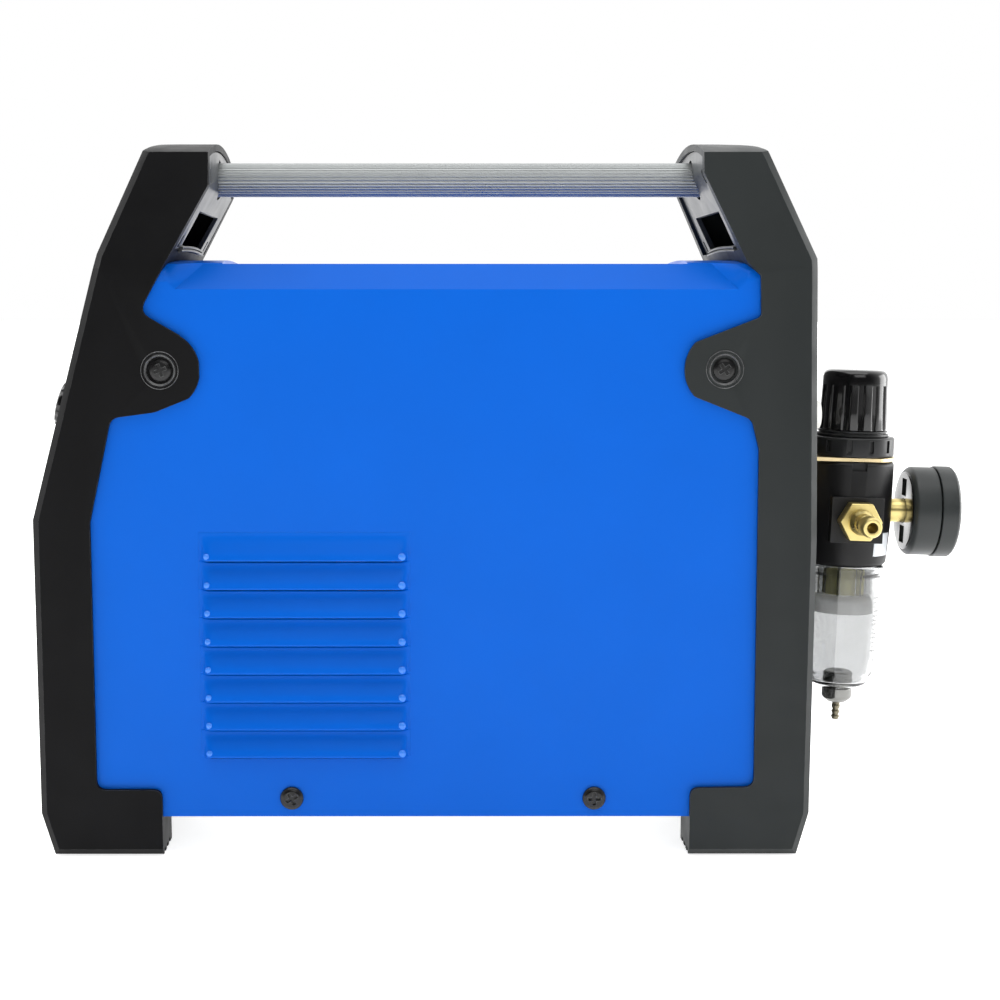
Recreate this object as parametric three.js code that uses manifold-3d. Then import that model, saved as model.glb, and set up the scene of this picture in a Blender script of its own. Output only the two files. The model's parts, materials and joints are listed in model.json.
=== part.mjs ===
// Portable inverter plasma cutter with a filter regulator on its rear.
// Millimetres, +Z up. Lengths run along X: the controls are at -X, the regulator at +X.
// The machine stands on the floor at Z = 0, and the near side faces -Y.
import * as THREE from 'three';
import { mergeVertices } from 'three/addons/utils/BufferGeometryUtils.js';
import { ConvexGeometry } from 'three/addons/geometries/ConvexGeometry.js';
import Module from 'manifold-3d';

const wasm = await Module();
wasm.setup();

// ---------- driving dimensions ----------
const GAP = 0.3;                 // clearance between touching pieces
const X_CENTRE = 35.3;           // middle of the whole machine, measured from the middle of the cabinet
const BEZEL_HALF = 59;           // half width over the moulded end frames
const BEZEL_EDGE = 3;            // chamfer round the outer edges of the frames
const LEAN_START = 260;          // height at which the frames begin to lean in
const LEAN = 0.0033;             // share of the width lost per millimetre above that
const ARM_TOP = 316;             // top of the handle arms
const CROWN_RADIUS = 190;        // gentle arch over the top of the arms
const SHEET = 1.2;               // cover steel thickness
const COVER_HALF = 56.5;         // half width over the cover
const COVER_BOTTOM = 17.5;
const COVER_TOP = 262;
const SHOULDER_Z = 251;          // fold line of the sloping shoulder
const SHOULDER_IN = 11;
const SHOULDER_FRONT = [-107.5, -96.5, -1];   // where the slope starts and ends, and which way is out
const SHOULDER_REAR = [134.5, 124.5, 1];
const LOUVRES = 8;
const LOUVRE_PITCH = 12.6;
const LOUVRE_FIRST = 45;         // lowest lip
const LOUVRE_X = [-98, -8];
const LOUVRE_PROUD = 3.4;
const LOUVRE_RISE = 8.6;
const BAR_Z = 300.6;
const BAR_RADIUS = 7.6;
const BAR_FLUTES = 26;
const BAR_X = [-112, 138];
const BAR_CLEAR = 1.3;           // open ring round the bar where it passes an insert
const INSERT_HALF = 52.5;        // half width of the handle inserts before the lean
const INSERT_THICK = 2.4;
const INSERT_FOOT = 268.2;
const INSERT_WINDOW = { half: 34, low: 270.3, high: 285 };
const FRONT_INSERT = { face: -93.6, knee: 294.3, slope: 0.565 };
const REAR_INSERT = { face: 121, knee: 301.4, slope: 0.49 };
const FRONT_SCREW = [-114.5, 216.3];
const REAR_SCREW = [129.3, 216.7];
const COVER_SCREW_X = [-59.6, 75.4];
const COVER_SCREW_Z = 26;
const EAR_SCREW = { seat: BEZEL_HALF - 1.4, radius: 5, height: 1.4, shank: 10 };
const COVER_SCREW = { seat: COVER_HALF + 0.2, radius: 5.2, height: 2.4, shank: 9 };
const PANEL_SLOPE = 0.267;       // run of the control panel per unit of height
const FRONT_PANEL_X = -162.7;
const REAR_PANEL_X = 167;
const FAN_Z = 86;
const FAN_HALF = 44;             // half the width of the fan's square frame
const FAN_DEPTH = 25;
const KNOB_AT = [-18, 196];      // controls on the sloping panel, as [y, z]
const BUTTON_AT = [24, 180];
const LAMP_AT = [14, 214];
const LAMP_PITCH = 10;
const OVERLAY_Z = 197;
const TORCH_AT = [-20, 76];      // sockets on the upright panel, as [y, z]
const EARTH_AT = [20, 76];
const TRIGGER_AT = [0, 118];
const SWITCH_AT = [-20, 232];    // fittings on the rear panel, as [y, z]
const GLAND_AT = [-22, 195];
const ELBOW_AT = [33, 146.3];
const BRACKET_SCREW_Z = 160;
const BRACKET_SCREW_Y = 13;
const ROCKER_TILT = 11;          // the lever rests this far from level, switched off
const ROUND = 22;                // facets round an ordinary turned part
const FINE = 36;                 // facets round the largest ones
const SMALL = 12;                // facets round screws and pins
const REG_X = 198.6;             // regulator axis at the bracket
const REG_Z = 173;               // underside of the bracket
const REG_TILT = 1.6;            // degrees the regulator hangs off plumb
const BODY_RADIUS = 19.8;
const PORT_Z = -26.6;            // air ports below the bracket
const GAUGE_RADIUS = 21.2;
const GAUGE_BACK = 26.3;         // gauge back from the regulator axis
const GAUGE_DEPTH = 21.5;
const GAUGE_DROP = -23.6;        // gauge axis below the bracket

const BLACK = { color: 0x232526, roughness: 0.62, metalness: 0 };
const GREY_BLACK = { color: 0x35393a, roughness: 0.6, metalness: 0 };
const BLUE = { color: 0x0067dc, roughness: 0.45, metalness: 0.1 };
const ALUMINIUM = { color: 0x9a9c9d, roughness: 0.4, metalness: 0.9 };
const STEEL = { color: 0x8d9092, roughness: 0.42, metalness: 0.85 };
const DARK_STEEL = { color: 0x17181a, roughness: 0.4, metalness: 0.6 };
const BRASS = { color: 0xb8963e, roughness: 0.32, metalness: 0.95 };
const GLOSS_BLACK = { color: 0x101112, roughness: 0.18, metalness: 0 };
const RED = { color: 0xb01818, roughness: 0.2, metalness: 0 };
const RUBBER = { color: 0x141414, roughness: 0.85, metalness: 0 };
const CLEAR = { color: 0xdfe6e8, roughness: 0.08, metalness: 0 };
const WHITE = { color: 0xe9e7e0, roughness: 0.6, metalness: 0 };
const BRONZE = { color: 0xb0955c, roughness: 0.9, metalness: 0.3 };
const ZINC = { color: 0xd9cba6, roughness: 0.4, metalness: 0.5 };

// ---------- shared helpers ----------
function solid(geometry) {
  const bare = geometry.index ? geometry.toNonIndexed() : geometry.clone();
  bare.deleteAttribute('normal');
  bare.deleteAttribute('uv');
  const merged = mergeVertices(bare, 1e-4);
  return new wasm.Manifold(new wasm.Mesh({
    numProp: 3,
    vertProperties: new Float32Array(merged.attributes.position.array),
    triVerts: new Uint32Array(merged.index.array),
  }));
}

function unite(solids) {
  return solids.reduce((sum, next) => sum.add(next));
}

function cut(body, tools) {
  return tools.reduce((left, tool) => left.subtract(tool), body);
}

function mesh(name, body, finish) {
  const raw = body.getMesh();
  const geometry = new THREE.BufferGeometry();
  geometry.setAttribute('position', new THREE.BufferAttribute(new Float32Array(raw.vertProperties), 3));
  geometry.setIndex(new THREE.BufferAttribute(new Uint32Array(raw.triVerts), 1));
  geometry.translate(-X_CENTRE, 0, 0);
  geometry.computeVertexNormals();
  const made = new THREE.Mesh(geometry, new THREE.MeshStandardMaterial(finish));
  made.name = name;
  return made;
}

// Points are [a, b] or [a, b, radius]; a radius rounds that corner.
function roundCorners(points, steps = 4) {
  const out = [];
  const count = points.length;
  for (let i = 0; i < count; i += 1) {
    const [x, y, radius = 0] = points[i];
    const here = new THREE.Vector2(x, y);
    const before = new THREE.Vector2(points[(i + count - 1) % count][0], points[(i + count - 1) % count][1]);
    const after = new THREE.Vector2(points[(i + 1) % count][0], points[(i + 1) % count][1]);
    const toBefore = before.clone().sub(here).normalize();
    const toAfter = after.clone().sub(here).normalize();
    const half = Math.acos(THREE.MathUtils.clamp(toBefore.dot(toAfter), -1, 1)) / 2;
    if (radius <= 0 || half > 1.55) {
      out.push(here);
      continue;
    }
    const room = 0.49 * Math.min(before.distanceTo(here), after.distanceTo(here));
    const reach = Math.min(radius / Math.tan(half), room);
    const start = here.clone().addScaledVector(toBefore, reach);
    const end = here.clone().addScaledVector(toAfter, reach);
    for (let k = 0; k <= steps; k += 1) {
      const t = k / steps;
      const a = start.clone().multiplyScalar((1 - t) * (1 - t));
      a.addScaledVector(here, 2 * t * (1 - t));
      a.addScaledVector(end, t * t);
      out.push(a);
    }
  }
  return out;
}

function extruded(points, depth, bevel = 0) {
  const shape = new THREE.Shape(roundCorners(points));
  return new THREE.ExtrudeGeometry(shape, {
    depth: depth - 2 * bevel,
    bevelEnabled: bevel > 0,
    bevelThickness: bevel,
    bevelSize: bevel,
    bevelOffset: -bevel,
    bevelSegments: 1,
    curveSegments: 12,
  }).translate(0, 0, bevel);
}

// Profile in X-Z pushed along Y.
function prismY(points, y0, y1, bevel = 0) {
  return extruded(points, y1 - y0, bevel).rotateX(Math.PI / 2).translate(0, y1, 0);
}

// Profile in Y-Z pushed along X.
function prismX(points, x0, x1, bevel = 0) {
  const turn = new THREE.Matrix4().makeBasis(
    new THREE.Vector3(0, 1, 0),
    new THREE.Vector3(0, 0, 1),
    new THREE.Vector3(1, 0, 0),
  );
  return extruded(points, x1 - x0, bevel).applyMatrix4(turn).translate(x0, 0, 0);
}

// Profile in X-Y pushed along Z.
function prismZ(points, z0, z1, bevel = 0) {
  return extruded(points, z1 - z0, bevel).translate(0, 0, z0);
}

function box(x0, x1, y0, y1, z0, z1) {
  return solid(new THREE.BoxGeometry(x1 - x0, y1 - y0, z1 - z0)
    .translate((x0 + x1) / 2, (y0 + y1) / 2, (z0 + z1) / 2));
}

// Turned shape about Z from [radius, height] pairs that start and end on the axis or close.
function turned(profile, segments = ROUND) {
  const points = profile.map(([r, z]) => new THREE.Vector2(r, z));
  return new THREE.LatheGeometry(points, segments).rotateX(Math.PI / 2);
}

function disc(radius, z0, z1, segments = ROUND) {
  return turned([[0, z0], [radius, z0], [radius, z1], [0, z1]], segments);
}

function ring(inner, outer, z0, z1, segments = ROUND) {
  return turned([[inner, z0], [outer, z0], [outer, z1], [inner, z1], [inner, z0]], segments);
}

function hexagon(acrossFlats, z0, z1, turn = 0) {
  return disc(acrossFlats / Math.sqrt(3), z0, z1, 6).rotateZ(turn);
}

function square(half, radius) {
  return [[-half, -half, radius], [half, -half, radius], [half, half, radius], [-half, half, radius]];
}

// Stands a shape made along +Z on a point, facing along a direction.
function place(geometry, origin, facing) {
  const turn = new THREE.Quaternion().setFromUnitVectors(
    new THREE.Vector3(0, 0, 1),
    new THREE.Vector3(...facing).normalize(),
  );
  return geometry.applyQuaternion(turn).translate(...origin);
}

// ---------- outlines ----------
const FRONT_OUTER = [
  [0, 320], [-119.5, 314.8, 8], [-141, 266], [-171.7, 151],
  [-171.7, 19], [-166, 0], [0, 0],
];
const FRONT_SIDE = [
  [-93.1, ARM_TOP], [-200, ARM_TOP], [-200, 0], [-117.2, 0], [-117.2, 30.2, 4], [-146.3, 30.2, 4.5],
  [-146.3, 150, 3], [-136.2, 195.6, 5], [-117, 198.2, 12], [-97.6, 206, 9], [-97.6, 226.6, 9],
  [-122.8, 241.3, 5], [-94.2, 293.2, 2], [-93.1, 295.2],
];
const REAR_OUTER = [
  [0, 0], [166.5, 0], [171.7, 19], [171.7, 142], [168.6, 264],
  [146.4, 313.4, 8], [0, 330],
];
const REAR_SIDE = [
  [119.9, ARM_TOP], [119.9, 300.6], [138, 262.5], [144, 256.8, 2], [144.6, 239.2, 2.5],
  [111.6, 226.4, 9], [111.9, 206.8, 9], [141.6, 195, 5], [145, 182, 2], [146.4, 31.4, 4.5],
  [118, 31, 4], [118, 0], [200, 0], [200, ARM_TOP],
];

// Arched end section of the cabinet, grown or shrunk by an offset.
function cabinetSection(offset, bottom) {
  const half = COVER_HALF + offset;
  const points = [[-half, bottom], [half, bottom], [half, 258 + offset, 7]];
  const crown = 50;
  for (let i = 0; i <= 10; i += 1) {
    const y = crown * (1 - i / 5);
    points.push([y, COVER_TOP + offset + 2.3 * (1 - (y / crown) ** 2)]);
  }
  points.push([-half, 258 + offset, 7]);
  return points;
}

function armSection(inset) {
  const rim = ARM_TOP - inset;
  const centre = rim - CROWN_RADIUS;
  const points = [[-70, 0], [70, 0], [70, 290]];
  const half = 52;
  for (let i = 0; i <= 12; i += 1) {
    const y = half * (1 - i / 6);
    points.push([y, centre + Math.sqrt(CROWN_RADIUS ** 2 - y * y)]);
  }
  points.push([-70, 290]);
  return points;
}

// ---------- moulded end frames ----------
function leanIn(geometry) {
  const position = geometry.attributes.position;
  for (let i = 0; i < position.count; i += 1) {
    const shrink = 1 - LEAN * (position.getZ(i) - LEAN_START);
    position.setY(i, position.getY(i) * shrink);
  }
  return geometry;
}

function frameBlank(outer, side, reach) {
  const chamfered = prismY(outer, -BEZEL_HALF, BEZEL_HALF, BEZEL_EDGE);
  const lower = solid(chamfered.clone()).intersect(box(-200, 200, -80, 80, -5, LEAN_START));
  const upper = solid(leanIn(chamfered)).intersect(box(-200, 200, -90, 90, LEAN_START, 330));
  const whole = lower.add(upper);
  const sideCut = solid(prismY(side, -80, 80));
  const crown = solid(prismX(armSection(0), reach[0], reach[1]));
  return whole.intersect(sideCut).intersect(crown);
}

function footTread(x0, x1) {
  const grooves = [];
  const pitch = 7.2;
  for (const sign of [-1, 1]) {
    for (let i = 0; i < 3; i += 1) {
      const y = sign * (38.5 + i * pitch);
      grooves.push(box(x0, x1, y - 1.7, y + 1.7, -1, 2.2));
    }
  }
  return grooves;
}

function earPockets(screw) {
  const [x, z] = screw;
  const pockets = [];
  for (const sign of [-1, 1]) {
    const outward = place(disc(7, -1.5, 3), [x, sign * BEZEL_HALF, z], [0, sign, 0]);
    const hole = place(disc(2.3, -6, 2), [x, sign * BEZEL_HALF, z], [0, sign, 0]);
    pockets.push(solid(outward), solid(hole));
  }
  return pockets;
}

function barBoss(x0, x1, headFace) {
  const facing = [Math.sign(x1 - x0), 0, 0];
  const reach = Math.abs(x1 - x0);
  const boss = solid(place(disc(10, 0, reach), [x0, 0, BAR_Z], facing));
  const hole = solid(place(disc(3.3, -2, reach + 30), [x0, 0, BAR_Z], facing));
  const head = solid(place(disc(5.6, 0, 40), [headFace, 0, BAR_Z], facing));
  return { boss, cuts: [hole, head] };
}

// Hollow behind a handle insert, following the lean of the frame.
function insertPocket(profile, reach) {
  const hollow = solid(leanIn(prismY(profile, -INSERT_HALF, INSERT_HALF)));
  return hollow.intersect(solid(prismX(armSection(3), ...reach)));
}

function frontBezel() {
  const reach = [-200, 0];
  const blank = frameBlank(FRONT_OUTER, FRONT_SIDE, reach);
  const slopeTop = FRONT_PANEL_X - GAP + PANEL_SLOPE * (264 - 150);
  const cavity = solid(prismX(cabinetSection(GAP, COVER_BOTTOM - GAP), -200, 0));
  const cavitySide = solid(prismY([
    [FRONT_PANEL_X - GAP, 0], [FRONT_PANEL_X - GAP, 150], [slopeTop, 264], [slopeTop, 280], [0, 280], [0, 0],
  ], -80, 80));
  const opening = box(-180, -120, -45, 45, 38, 243);
  const pocket = insertPocket([[-60, 320], [-113.5, 320], [-136.5, 267.9], [-60, 267.9]], reach);
  const arch = box(-200, 0, -31.5, 31.5, -5, 12.5);
  const hollow = cut(blank, [cavity.intersect(cavitySide), opening, pocket, arch]);
  const { boss, cuts } = barBoss(BAR_X[0] - GAP, -140, -119);
  const joined = hollow.add(boss.intersect(blank));
  const body = cut(joined, [...cuts, ...footTread(-175, -110), ...earPockets(FRONT_SCREW)]);
  return mesh('front_bezel', body, BLACK);
}

function rearBezel() {
  const reach = [0, 200];
  const blank = frameBlank(REAR_OUTER, REAR_SIDE, reach);
  const cavity = solid(prismX(cabinetSection(GAP, COVER_BOTTOM - GAP), 0, 200));
  const limit = REAR_PANEL_X + GAP;
  const cavitySide = solid(prismY([
    [0, 0], [limit, 0], [limit, 247], [158, 264], [158, 280], [0, 280],
  ], -80, 80));
  const opening = box(130, 190, -45, 45, 38, 243);
  const pocket = insertPocket([[90, 267.9], [162.5, 267.9], [141, 320], [90, 320]], reach);
  const arch = box(0, 200, -31.5, 31.5, -5, 12.5);
  const hollow = cut(blank, [cavity.intersect(cavitySide), opening, pocket, arch]);
  const { boss, cuts } = barBoss(BAR_X[1] + GAP, 170, 145);
  const joined = hollow.add(boss.intersect(blank));
  const body = cut(joined, [...cuts, ...footTread(110, 175), ...earPockets(REAR_SCREW)]);
  return mesh('rear_bezel', body, GREY_BLACK);
}

// ---------- handle ----------
// Upright above its knee and sloping below it, with a grip window and snap slots.
function insertPlate(name, { face, knee, slope }, inward, finish) {
  const foot = face + inward * slope * (knee - INSERT_FOOT);
  const thick = INSERT_THICK * inward;
  const profile = [
    [face, 320], [face, knee], [foot, INSERT_FOOT],
    [foot + thick * 1.15, INSERT_FOOT], [face + thick, knee - 0.7], [face + thick, 320],
  ];
  const reach = inward < 0 ? [-200, 0] : [0, 200];
  const half = INSERT_HALF - GAP;
  const outline = solid(prismX(armSection(3 + GAP), ...reach));
  const plate = solid(leanIn(prismY(profile, -half, half))).intersect(outline);
  const barHole = solid(place(disc(BAR_RADIUS + BAR_CLEAR, -60, 60), [face, 0, BAR_Z], [1, 0, 0]));
  const { half: wide, low, high } = INSERT_WINDOW;
  const window = box(...reach, -wide, wide, low, high);
  const cuts = [barHole, window];
  for (const sign of [-1, 1]) {
    cuts.push(box(...reach, sign * 43 - 1.5, sign * 43 + 1.5, 269.3, 274.3));
    cuts.push(box(...reach, sign * 36.5 - 1.2, sign * 36.5 + 1.2, 297, 303));
  }
  return mesh(name, cut(plate, cuts), finish);
}

function handleBar() {
  const points = [];
  const steps = BAR_FLUTES * 4;
  for (let i = 0; i < steps; i += 1) {
    const angle = (i / steps) * Math.PI * 2;
    const radius = i % 4 < 2 ? BAR_RADIUS : BAR_RADIUS - 0.35;
    points.push([radius * Math.cos(angle), radius * Math.sin(angle)]);
  }
  const length = BAR_X[1] - BAR_X[0];
  const bar = solid(place(extruded(points, length), [BAR_X[0], 0, BAR_Z], [1, 0, 0]));
  const bore = solid(place(disc(3.2, -1, length + 1, SMALL), [BAR_X[0], 0, BAR_Z], [1, 0, 0]));
  return mesh('handle_bar', bar.subtract(bore), ALUMINIUM);
}

function handleBolt(name, x, facing) {
  const bolt = solid(place(turned([[0, -20], [2.9, -20], [2.9, 0], [5, 0], [5, 3.6], [4.4, 4.2], [0, 4.2]]),
    [x, 0, BAR_Z], [facing, 0, 0]));
  const socket = solid(place(hexagon(4, 1.8, 6), [x, 0, BAR_Z], [facing, 0, 0]));
  return mesh(name, bolt.subtract(socket), DARK_STEEL);
}

// ---------- cover ----------
// Wedge cut from the cover's upper edge. Its ends turn back out along steep facets.
function shoulderCut(side, offset) {
  const half = COVER_HALF - offset;
  const low = SHOULDER_Z - offset * 0.42;
  const high = COVER_TOP - offset;
  const inner = half - (high - low) * (SHOULDER_IN / (COVER_TOP - SHOULDER_Z));
  const corners = [];
  for (const [start, end, out] of [SHOULDER_FRONT, SHOULDER_REAR]) {
    corners.push([start, half, low], [end, inner, high]);
    corners.push([start + out * 17.7, 66, low], [start + out * 41.7, 66, 275]);
    corners.push([start - out * 1.1, half - 13.5, 275]);
  }
  return solid(new ConvexGeometry(corners.map(([x, y, z]) => new THREE.Vector3(x, side * y, z))));
}

function coverForm(offset, x0, x1) {
  const form = solid(prismX(cabinetSection(-offset, COVER_BOTTOM - (offset > 0 ? 5 : 0)), x0, x1));
  const flatTop = COVER_TOP - offset;
  const trim = solid(prismY([[-88, flatTop], [-98, 275], [124, 275], [114, flatTop]], -80, 80));
  return cut(form, [trim, shoulderCut(1, offset), shoulderCut(-1, offset)]);
}

function louvreForm(side, lip, inset) {
  const [x0, x1] = LOUVRE_X;
  const base = COVER_HALF - SHEET - 1 - (inset > 0 ? 1 : 0);
  const out = COVER_HALF + LOUVRE_PROUD - inset;
  const low = lip - (inset > 0 ? 1 : 0);
  const high = lip + LOUVRE_RISE - inset;
  const end = 5;
  const corners = [
    [x0 + inset, base, low], [x1 - inset, base, low],
    [x0 + inset, base, high - 3], [x1 - inset, base, high - 3],
    [x0 + end, base, high], [x1 - end, base, high],
    [x0 + end, COVER_HALF - inset, high], [x1 - end, COVER_HALF - inset, high],
    [x0 + inset, COVER_HALF - inset, high - 3], [x1 - inset, COVER_HALF - inset, high - 3],
    [x0 + inset, COVER_HALF - inset, low], [x1 - inset, COVER_HALF - inset, low],
    [x0 + end, out, low], [x1 - end, out, low],
    [x0 + end, out, lip + 1.6], [x1 - end, out, lip + 1.6],
    [x0 + end, out - 0.9, lip + 4], [x1 - end, out - 0.9, lip + 4],
  ];
  return solid(new ConvexGeometry(corners.map(([x, y, z]) => new THREE.Vector3(x, side * y, z))));
}

function sideHole(x, side, half, z) {
  return solid(place(disc(2.3, -5, 5), [x, side * half, z], [0, side, 0]));
}

function topCover() {
  const sideShape = [
    [-152, COVER_BOTTOM], [152, COVER_BOTTOM], [152, 245], [146, 262], [146, 270],
    [-124, 270], [-124, 262], [-152, 150],
  ];
  const silhouette = solid(prismY(sideShape, -80, 80));
  let shell = coverForm(0, -155, 155).intersect(silhouette);
  shell = shell.subtract(coverForm(SHEET, -160, 160));
  for (const side of [-1, 1]) {
    for (let i = 0; i < LOUVRES; i += 1) {
      const lip = LOUVRE_FIRST + i * LOUVRE_PITCH;
      const inside = box(-150, 150, -COVER_HALF + SHEET, COVER_HALF - SHEET, 0, 240);
      shell = shell.add(louvreForm(side, lip, 0).subtract(inside));
      shell = shell.subtract(louvreForm(side, lip, SHEET));
    }
    for (const x of COVER_SCREW_X) {
      shell = shell.subtract(sideHole(x, side, COVER_HALF, COVER_SCREW_Z));
    }
    for (const [x, z] of [FRONT_SCREW, REAR_SCREW]) {
      shell = shell.subtract(sideHole(x, side, COVER_HALF, z));
    }
  }
  return mesh('top_cover', shell, BLUE);
}

function baseTray() {
  const half = COVER_HALF - SHEET - GAP;
  const section = [
    [-half, 17.6], [half, 17.6], [half, 36], [half - 1.4, 36], [half - 1.4, 19], [-half + 1.4, 19],
    [-half + 1.4, 36], [-half, 36],
  ];
  const tray = solid(prismX(section, -150, 150));
  const slots = [];
  for (let i = 0; i < 6; i += 1) {
    const x = -60 + i * 24;
    slots.push(box(x, x + 8, -25, 25, 10, 22));
  }
  for (const side of [-1, 1]) {
    for (const x of COVER_SCREW_X) {
      slots.push(sideHole(x, side, half, COVER_SCREW_Z));
    }
  }
  return mesh('base_tray', cut(tray, slots), STEEL);
}

// ---------- screws ----------
function crossRecess(x, y, z, facing, size, depth) {
  const arm = size * 0.28;
  const flatBar = (a, b) => place(new THREE.BoxGeometry(a, b, 2 * depth), [x, y, z], facing);
  return [solid(flatBar(size, arm)), solid(flatBar(arm, size))];
}

function panScrew(name, [x, z], side, { seat, radius, height, shank }) {
  const facing = [0, side, 0];
  const profile = [
    [0, -shank], [1.9, -shank], [1.9, 0], [radius, 0], [radius, height * 0.45],
    [radius * 0.8, height * 0.85], [radius * 0.4, height], [0, height],
  ];
  const body = solid(place(turned(profile, SMALL), [x, side * seat, z], facing));
  const recess = crossRecess(x, side * (seat + height), z, facing, radius * 1.1, height * 0.55);
  return mesh(name, cut(body, recess), DARK_STEEL);
}

// ---------- front: controls and sockets ----------
const FRONT_NORMAL = new THREE.Vector3(-1, 0, PANEL_SLOPE).normalize();

// Point on the sloping control panel at a height, offset outward.
function onPanel(y, z, out) {
  const x = FRONT_PANEL_X + PANEL_SLOPE * (z - 150);
  return [x + FRONT_NORMAL.x * out, y, z + FRONT_NORMAL.z * out];
}

function frontPanel() {
  const thick = 2;
  const topZ = 256;
  const topX = FRONT_PANEL_X + PANEL_SLOPE * (topZ - 150);
  const profile = [
    [FRONT_PANEL_X, 20], [FRONT_PANEL_X + thick, 20], [FRONT_PANEL_X + thick, 150 - 0.3],
    [topX + thick, topZ], [topX, topZ], [FRONT_PANEL_X, 150],
  ];
  let plate = solid(prismY(profile, -54, 54));
  const facing = FRONT_NORMAL.toArray();
  const holes = [
    solid(place(disc(3.8, -12, 12), onPanel(...KNOB_AT, 0), facing)),
    solid(place(disc(4.3, -12, 12), onPanel(...BUTTON_AT, 0), facing)),
    solid(place(disc(11.3, -12, 12), [FRONT_PANEL_X, ...TORCH_AT], [-1, 0, 0])),
    solid(place(disc(13.3, -12, 12), [FRONT_PANEL_X, ...EARTH_AT], [-1, 0, 0])),
    solid(place(disc(8.3, -12, 12), [FRONT_PANEL_X, ...TRIGGER_AT], [-1, 0, 0])),
  ];
  for (let i = 0; i < 3; i += 1) {
    holes.push(solid(place(disc(2.8, -12, 12), onPanel(LAMP_AT[0] + i * LAMP_PITCH, LAMP_AT[1], 0), facing)));
  }
  return mesh('front_panel', cut(plate, holes), BLACK);
}

function controlOverlay() {
  const facing = FRONT_NORMAL.toArray();
  const film = place(new THREE.BoxGeometry(60, 78, 0.5), onPanel(0, OVERLAY_Z, 0.35), facing);
  const turnedFilm = solid(film);
  const holes = [
    solid(place(disc(4.2, -12, 12), onPanel(...KNOB_AT, 0), facing)),
    solid(place(disc(8, -12, 12), onPanel(...BUTTON_AT, 0), facing)),
  ];
  for (let i = 0; i < 3; i += 1) {
    holes.push(solid(place(disc(3.2, -12, 12), onPanel(LAMP_AT[0] + i * LAMP_PITCH, LAMP_AT[1], 0), facing)));
  }
  return mesh('control_overlay', cut(turnedFilm, holes), GLOSS_BLACK);
}

function currentKnob() {
  const facing = FRONT_NORMAL.toArray();
  const origin = onPanel(...KNOB_AT, 1.2);
  const body = solid(place(turned([
    [0, 0], [14, 0], [14, 2.4], [11.6, 3.4], [10.8, 14], [9.8, 15], [0, 15],
  ]), origin, facing));
  const cuts = [];
  const grips = 12;
  for (let i = 0; i < grips; i += 1) {
    const angle = (i / grips) * Math.PI * 2;
    const groove = disc(0.9, 4.5, 20, 6).translate(11.5 * Math.cos(angle), 11.5 * Math.sin(angle), 0);
    cuts.push(solid(place(groove, origin, facing)));
  }
  cuts.push(solid(place(new THREE.BoxGeometry(8, 1.1, 1.4).translate(6, 0, 15), origin, facing)));
  cuts.push(solid(place(disc(3.3, -1, 10.8), origin, facing)));
  return mesh('current_knob', cut(body, cuts), GLOSS_BLACK);
}

function potentiometer() {
  const facing = FRONT_NORMAL.toArray();
  const body = turned([
    [0, -14], [8, -14], [8, -2.4], [3.4, -2.4], [3.4, 0.9], [3, 0.9], [3, 10.4], [0, 10.4],
  ]);
  return mesh('current_potentiometer', solid(place(body, onPanel(...KNOB_AT, 0), facing)), STEEL);
}

function indicator(name, index, color) {
  const facing = FRONT_NORMAL.toArray();
  const lens = turned([[0, -8], [2.5, -8], [2.5, 0.8], [2.2, 1.8], [1.2, 2.5], [0, 2.6]], SMALL);
  const finish = { color, roughness: 0.2, metalness: 0 };
  const at = onPanel(LAMP_AT[0] + index * LAMP_PITCH, LAMP_AT[1], 0);
  return mesh(name, solid(place(lens, at, facing)), finish);
}

function modeButton() {
  const facing = FRONT_NORMAL.toArray();
  const cap = turned([[0, -4], [3, -4], [3, 5.6], [2.4, 6.2], [0, 6.4]], SMALL);
  return mesh('mode_button', solid(place(cap, onPanel(...BUTTON_AT, 0), facing)), RED);
}

function torchSocket() {
  const profile = [
    [0, -14], [8, -14], [8, -2.4], [11, -2.4], [11, 0.4], [14.5, 0.4], [14.5, 4],
    [11, 4], [11, 12], [10.2, 13], [6, 13], [6, 2], [0, 2],
  ];
  return mesh('torch_socket', solid(place(turned(profile), [FRONT_PANEL_X, ...TORCH_AT], [-1, 0, 0])), BRASS);
}

function earthSocket() {
  const profile = [
    [7, -12], [13, -12], [13, 0.4], [17, 0.4], [17, 6], [15.5, 9], [12, 9.6], [9, 9.6], [7, 8], [7, -12],
  ];
  const shell = solid(place(turned(profile), [FRONT_PANEL_X, ...EARTH_AT], [-1, 0, 0]));
  const [keyY, keyZ] = EARTH_AT;
  const key = box(FRONT_PANEL_X - 10, FRONT_PANEL_X - 2, keyY - 2, keyY + 2, keyZ + 5, keyZ + 11);
  return mesh('earth_socket', shell.subtract(key), RUBBER);
}

function earthContact() {
  const profile = [[0, -16], [6.7, -16], [6.7, 7], [4.8, 7], [4.8, -10], [0, -10]];
  const pin = place(turned(profile, SMALL), [FRONT_PANEL_X, ...EARTH_AT], [-1, 0, 0]);
  return mesh('earth_contact', solid(pin), BRASS);
}

function triggerSocket() {
  const profile = [
    [0, -10], [8, -10], [8, 0.4], [10, 0.4], [10, 2.6], [8, 2.6], [8, 9], [6.6, 9], [6.6, 2], [0, 2],
  ];
  let socket = solid(place(turned(profile), [FRONT_PANEL_X, ...TRIGGER_AT], [-1, 0, 0]));
  for (const y of [-2.6, 2.6]) {
    const pin = place(disc(0.9, -2, 6, 16), [FRONT_PANEL_X, y, TRIGGER_AT[1]], [-1, 0, 0]);
    socket = socket.subtract(solid(pin));
  }
  return mesh('trigger_socket', socket, STEEL);
}

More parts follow.
